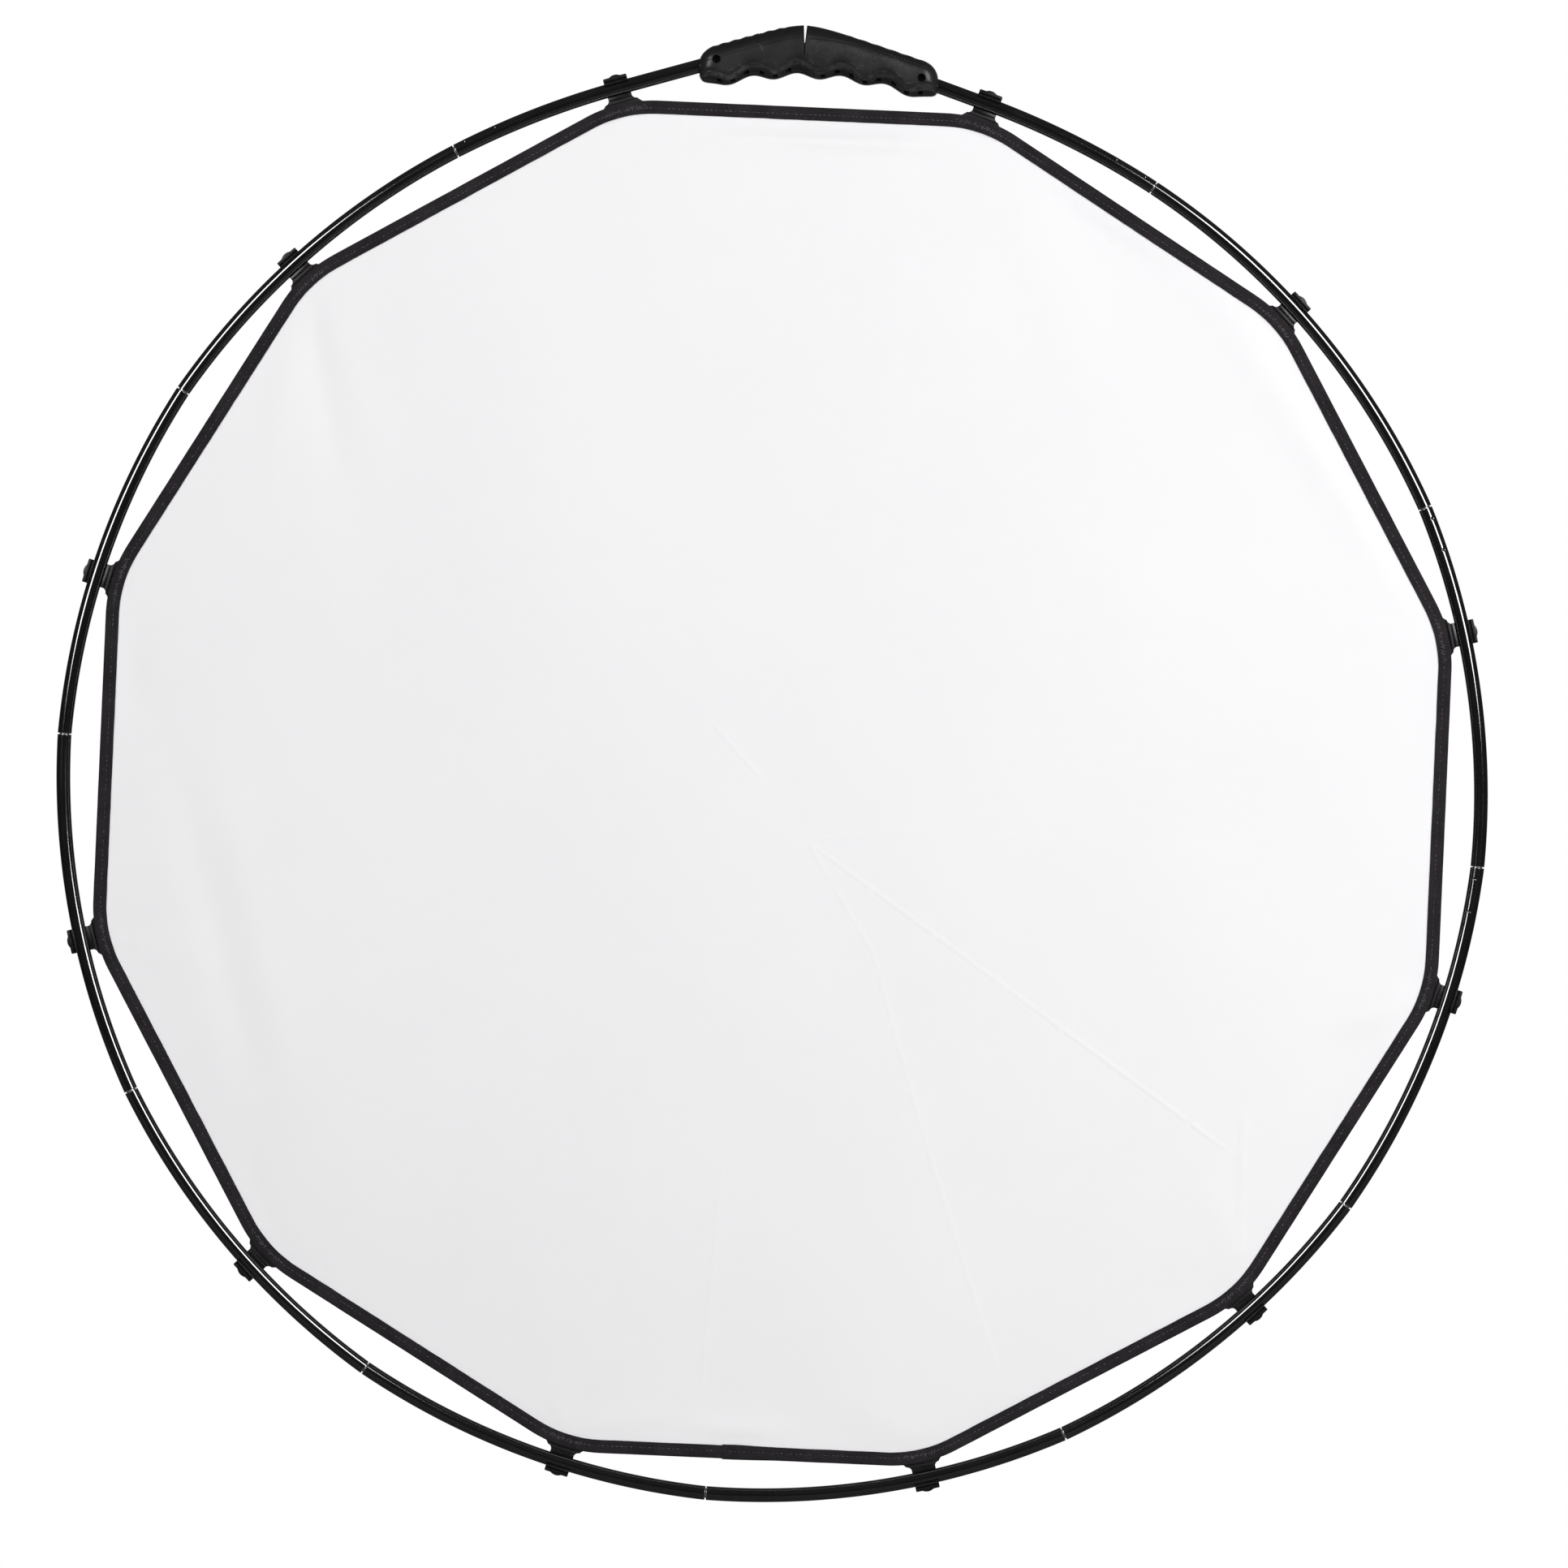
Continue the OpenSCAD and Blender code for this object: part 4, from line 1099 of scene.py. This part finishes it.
def grip_form(side):
    """Half the grip's front, plain and drawn on the right: its points and their normals in
    rings from the split out, each ring's share of the length, each line's start and angle and
    height at the split, and how far into the rounded end a point is."""
    length = GRIP_LEN[side]
    body = np.concatenate([[0, 0.1, 0.22, 0.4], np.arange(0.75, length - END_ROUND, 0.42)])
    if side < 0:        # closer rings for the seam
        body = np.unique(np.round(np.concatenate([body, np.arange(22.6, 28.4, 0.14)]), 3))
    end = length - END_ROUND + END_ROUND * np.sin(np.linspace(0, math.pi / 2, 34))
    share = np.concatenate([body[body < end[0] - 0.2], end])[:, None] / length
    t = np.linspace(-1, 1, 118)
    a = rad(90 * np.sign(t) * np.abs(t) ** 0.85)
    up, low = grip_upper(side, 0), grip_lower(0)
    y0 = (up + low) / 2 + (up - low) / 2 * bulge(np.sin(a))
    begin = 0.2 * smooth(y0, R + 18.2, R + 18.9) + 0.72 * np.clip((y0 - (R + 18.6)) / 11, 0, 1.2)
    x = begin + share * (length - begin)
    up, low = grip_upper(side, x), grip_lower(side * x)
    end = np.clip((x - length + END_ROUND) / END_ROUND, 0, 1)
    full = (1 - (END_SHARE * end) ** END_POWER) ** (1 / END_POWER)
    mid = (up + low) / 2 * (1 - end) + tube_line(x) * end
    reach = full * np.where(a < 0, mid - low, up - mid)
    depth = full * (DEPTH + (END_DEPTH - DEPTH) * x / length) / 2
    p = np.stack([x, mid + reach * bulge(np.sin(a)), depth * bulge(np.cos(a))], -1)
    n = unit(np.cross(np.gradient(p, axis=1), np.gradient(p, axis=0)) + 1e-12)
    n = np.where(n[..., 2:] < 0, -n, n)
    wrong = (np.abs(n[..., 2]) < 0.02) & ((n[..., 1] > 0) != (a > 0))
    return p, np.where(wrong[..., None], -n, n), share, begin, a, y0, end


def carving(side, p, begin, a, y0, end):
    """How far each point of a grip half moves out, and the marks that its paint reads."""
    left, (x, y, z) = side < 0, np.moveaxis(p, -1, 0)
    u = side * x
    from_top, from_low = grip_upper(side, x) - y, y - grip_lower(u)
    groove, on_body = scallop(u), 1 - smooth(end, 0.55, 0.95)
    face, strong = smooth(z, 1.5, 4.5) * on_body, 1.0 if left else 0.55
    # finger scoops: a step under a line that arches over each finger, with a proud band below it
    q = 4.6 + 2.4 * groove ** 0.6 - from_low
    crest = hump(q - 2.2, 1.7) * face * strong
    out = 0.6 * crest - strong * face * (0.8 * smooth(q, -0.5, 0.9) + 0.25 * hump(q, 0.6))
    out -= 0.8 * groove * hump(from_low, 5.0) * on_body * smooth(z, 1.0, 5.0)
    # a band along the top, and the line under it
    line = 8.3 - (0.0 if left else 3.6) * smooth(np.abs(u), 0, 36)
    band = (1 - smooth(from_top, line - 0.5, line + 0.3)) * smooth(z, 0.5, 2.5)
    near = smooth(np.abs(u), 0, 4) * on_body
    out -= (0.1 if left else 0.2) * hump(from_top - line, 0.45) * near + 0.12 * band * near
    if left:
        # ribs over the top, and the curved seam across the band
        ribs = window(u, -55, -51, -13, -8) * (1 - smooth(from_top, 1.5, 5.0))
        out += 0.2 * wave(u + 2, 6.4) * ribs
        drop = R + 21 - y
        seam = u - (-27.2 - 0.078 * drop + 0.0688 * drop * drop)
        out -= 0.34 * hump(seam, 0.22) * smooth(y, R + 13, R + 14.2)
        hatch = np.zeros_like(x)
    else:
        # longer ribs, a fine comb among them, and the hatched face, which is paint alone
        ribs = window(u, 22, 28, 66, 72) * (1 - smooth(from_top, 1.0, 4.0))
        comb = window(u, 45, 48, 61, 64) * window(from_top, 0.8, 1.8, 3.6, 4.6)
        out += 0.12 * wave(u, 8.6) * ribs + 0.22 * wave(u, 1.85) * comb
        hatch = window(u, 1, 3, 60, 64) * smooth(from_top, line, line + 0.8) * smooth(-q, 0.2, 1.0)
    # small pockets in a row along the lower edge
    off = u - (0.0 if left else 3.2)
    off = np.abs((off + POCKET_PITCH / 2) % POCKET_PITCH - POCKET_PITCH / 2)
    pocket = ((1 - smooth(off, 1.0, 1.4)) * window(from_low, 0.02, 0.22, 1.2, 1.5)
              * (1 - smooth(end, 0.1, 0.3)) * smooth(np.abs(u), 4, 6) * (a < 0))
    out -= 1.5 * pocket
    # the rims are broken, so that the parting lines show
    split = smooth(y0, R + 9, R + 13)
    rim = 0.14 * split * (1 - smooth(x - begin, 0, 0.4)) * smooth(z, 0, 1)
    out -= 0.22 * (1 - smooth(z, 0.0, 0.45)) + rim
    # the pocket mark also takes in the split between the halves; the paint lays painted shade over
    # both
    return out, {"pebbled": smooth(groove, 0.95, 0.3) * hump(from_low - 5.5, 4.0) * on_body,
                 "crest": crest, "band": band, "hatch": hatch, "cap": end,
                 "pocket": np.maximum(pocket, split * hump(x - begin, 0.42))}


def shell(side, front):
    length = GRIP_LEN[side]
    p, n, share, begin, a, y0, end = grip_form(side)
    out, marks = carving(side, p, begin, a, y0, end)
    p = p + n * out[..., None]
    p[:, [0, -1], 2] = 0
    p[..., 2] = np.maximum(p[..., 2], 0)
    p[..., 0] = np.clip(p[..., 0], begin, length)
    p[0, :, 0] = begin
    p = p * [side, 1, 1 if front else -1]
    name = f"grip_{SIDE[side]}_{'front' if front else 'back'}"
    shape = Shape().grid(p, share[:, 0] * length / 1000, np.arange(p.shape[1]) / 2500, caps=True,
                         marks=marks)
    piece = shape.make(name + "_moulded", [RUBBER], sharp=48)
    if front:
        recess(piece, screw_at(side) * [side, 1])
    stand_for(piece, name, f"{SIDE[side]}_hoop")


HOLE = ((2.36, 6.6), (2.4, 8.0), (2.42, 15.0))      # radii and heights of a screw's hole
MEND_R, MEND_DEEP, MEND_GAP = 0.0036, 0.005, 2e-5   # where its rim's shading is mended, in m


def recess(piece, at):
    """A screw's hole, cut into a grip shell, with the shell's own shading kept around it."""
    before = piece.data
    tree = BVHTree.FromPolygons([v.co for v in before.vertices],
                                [p.vertices for p in before.polygons])
    old = np.array([v.normal for v in before.vertices])
    rings = np.array([flat3(at + r * way(np.arange(0, 360, 7.5)), z) for r, z in HOLE])
    cutter = Shape().grid(rings, caps=True).make("cutter", [RUBBER])
    cut = piece.modifiers.new("recess", "BOOLEAN")
    cut.operation, cut.solver, cut.object = "DIFFERENCE", "EXACT", cutter
    shown = piece.evaluated_get(bpy.context.evaluated_depsgraph_get())
    mesh = bpy.data.meshes.new_from_object(shown)
    piece.modifiers.clear()
    piece.data = mesh
    bpy.data.objects.remove(cutter)
    middle = Vector(row(flat3(at, 10)))
    normals = np.array([n.vector for n in mesh.corner_normals])
    for poly in mesh.polygons:
        far = poly.center - middle
        if math.hypot(far.x, far.z) > MEND_R or far.y > MEND_DEEP:
            continue
        for i in poly.loop_indices:
            co = mesh.vertices[mesh.loops[i].vertex_index].co
            _, n, face, gap = tree.find_nearest(co)
            if gap < MEND_GAP and poly.normal.dot(n) > 0.8:
                ids = before.polygons[face].vertices
                w = np.array([1 / ((before.vertices[v].co - co).length + 1e-6) for v in ids])
                normals[i] = unit((old[list(ids)] * w[:, None]).sum(0))
    mesh.normals_split_custom_set(normals.tolist())


for side in (1, -1):
    for front in (True, False):
        shell(side, front)


# ---- studio: floor, white surround, two softboxes, and two fills that leave no highlight ----

FLOOR_R, FLOOR_Z = 2.4, -1.29


def floor():
    mesh = bpy.data.meshes.new("floor")
    rim = ring(FLOOR_R, np.arange(0, 360, 3.75))
    mesh.from_pydata([(x, y, FLOOR_Z) for x, y in rim], [], [list(range(len(rim)))])
    p = Paint("floor_white", (0.4, 0.4, 0.4), 0.9)
    p.set(Base_Color=p.mix(p.rays("Glossy"), (0.4, 0.4, 0.4), (0.06, 0.06, 0.06)),
          Emission_Color=(1, 1, 1), Emission_Strength=p.times(p.rays("Camera"), 0.62))
    mesh.materials.append(p.material)
    add_object("floor", mesh)


def surround():
    """White to the camera, and to gloss that looks past the panel's back. Elsewhere it is dim,
    more so from below, and dimmer still in gloss."""
    world = bpy.data.worlds.new("world")
    scene.world = world
    world.use_nodes = True
    sky = Nodes(world.node_tree)
    at, glossy, one = sky.where("Generated"), sky.rays("Glossy"), {"data_type": "FLOAT"}
    behind = sky.math("SUBTRACT", sky.axis(at, 1), 0.8, clamp=True)
    behind = sky.math("MULTIPLY", behind, 6.0, clamp=True)
    white = sky.math("ADD", sky.rays("Camera"), sky.math("MULTIPLY", glossy, behind, clamp=True),
                     clamp=True)
    upward = sky.add("MapRange", Value=sky.axis(at, 2), i1=-1.0, i2=1.0, i3=0.01, i4=0.24)
    in_gloss = sky.math("MULTIPLY", upward, 0.22, clamp=True)
    dim = sky.add("Mix", 0, one, i0=glossy, i2=upward, i3=in_gloss)
    sky.fill(sky.tree.nodes["Background"],
             {"Color": (1, 1, 1), "Strength": sky.add("Mix", 0, one, i0=white, i2=dim, i3=1.0)})


def softbox(name, azimuth, off_axis, distance, width, height, watts, shine=True):
    """A lamp that faces the hoop's centre, off the camera's line by off_axis degrees, towards
    an azimuth that the camera sees clockwise from the top."""
    data = bpy.data.lights.new(name, "AREA")
    data.shape, data.size, data.size_y, data.energy = "RECTANGLE", width, height, watts
    lamp = add_object(name, data)
    lamp.visible_glossy = shine
    a, e = math.radians(azimuth), math.radians(off_axis)
    to = Vector((math.sin(e) * math.sin(a), -math.cos(e), math.sin(e) * math.cos(a)))
    side = Vector((math.cos(a), 0, -math.sin(a)))
    lamp.matrix_world = placed(CENTRE + to * distance, side, to.cross(side), to)


floor()
surround()
softbox("softbox_right", 56, 39, 3.0, 1.6, 0.95, 47)
softbox("softbox_left", 299, 40, 3.0, 1.45, 0.9, 35.7)
softbox("fill_right", 84, 45, 1.4, 1.0, 1.0, 5.7, shine=False)
softbox("fill_back", 10, 140, 3.0, 1.6, 1.6, 62, shine=False)
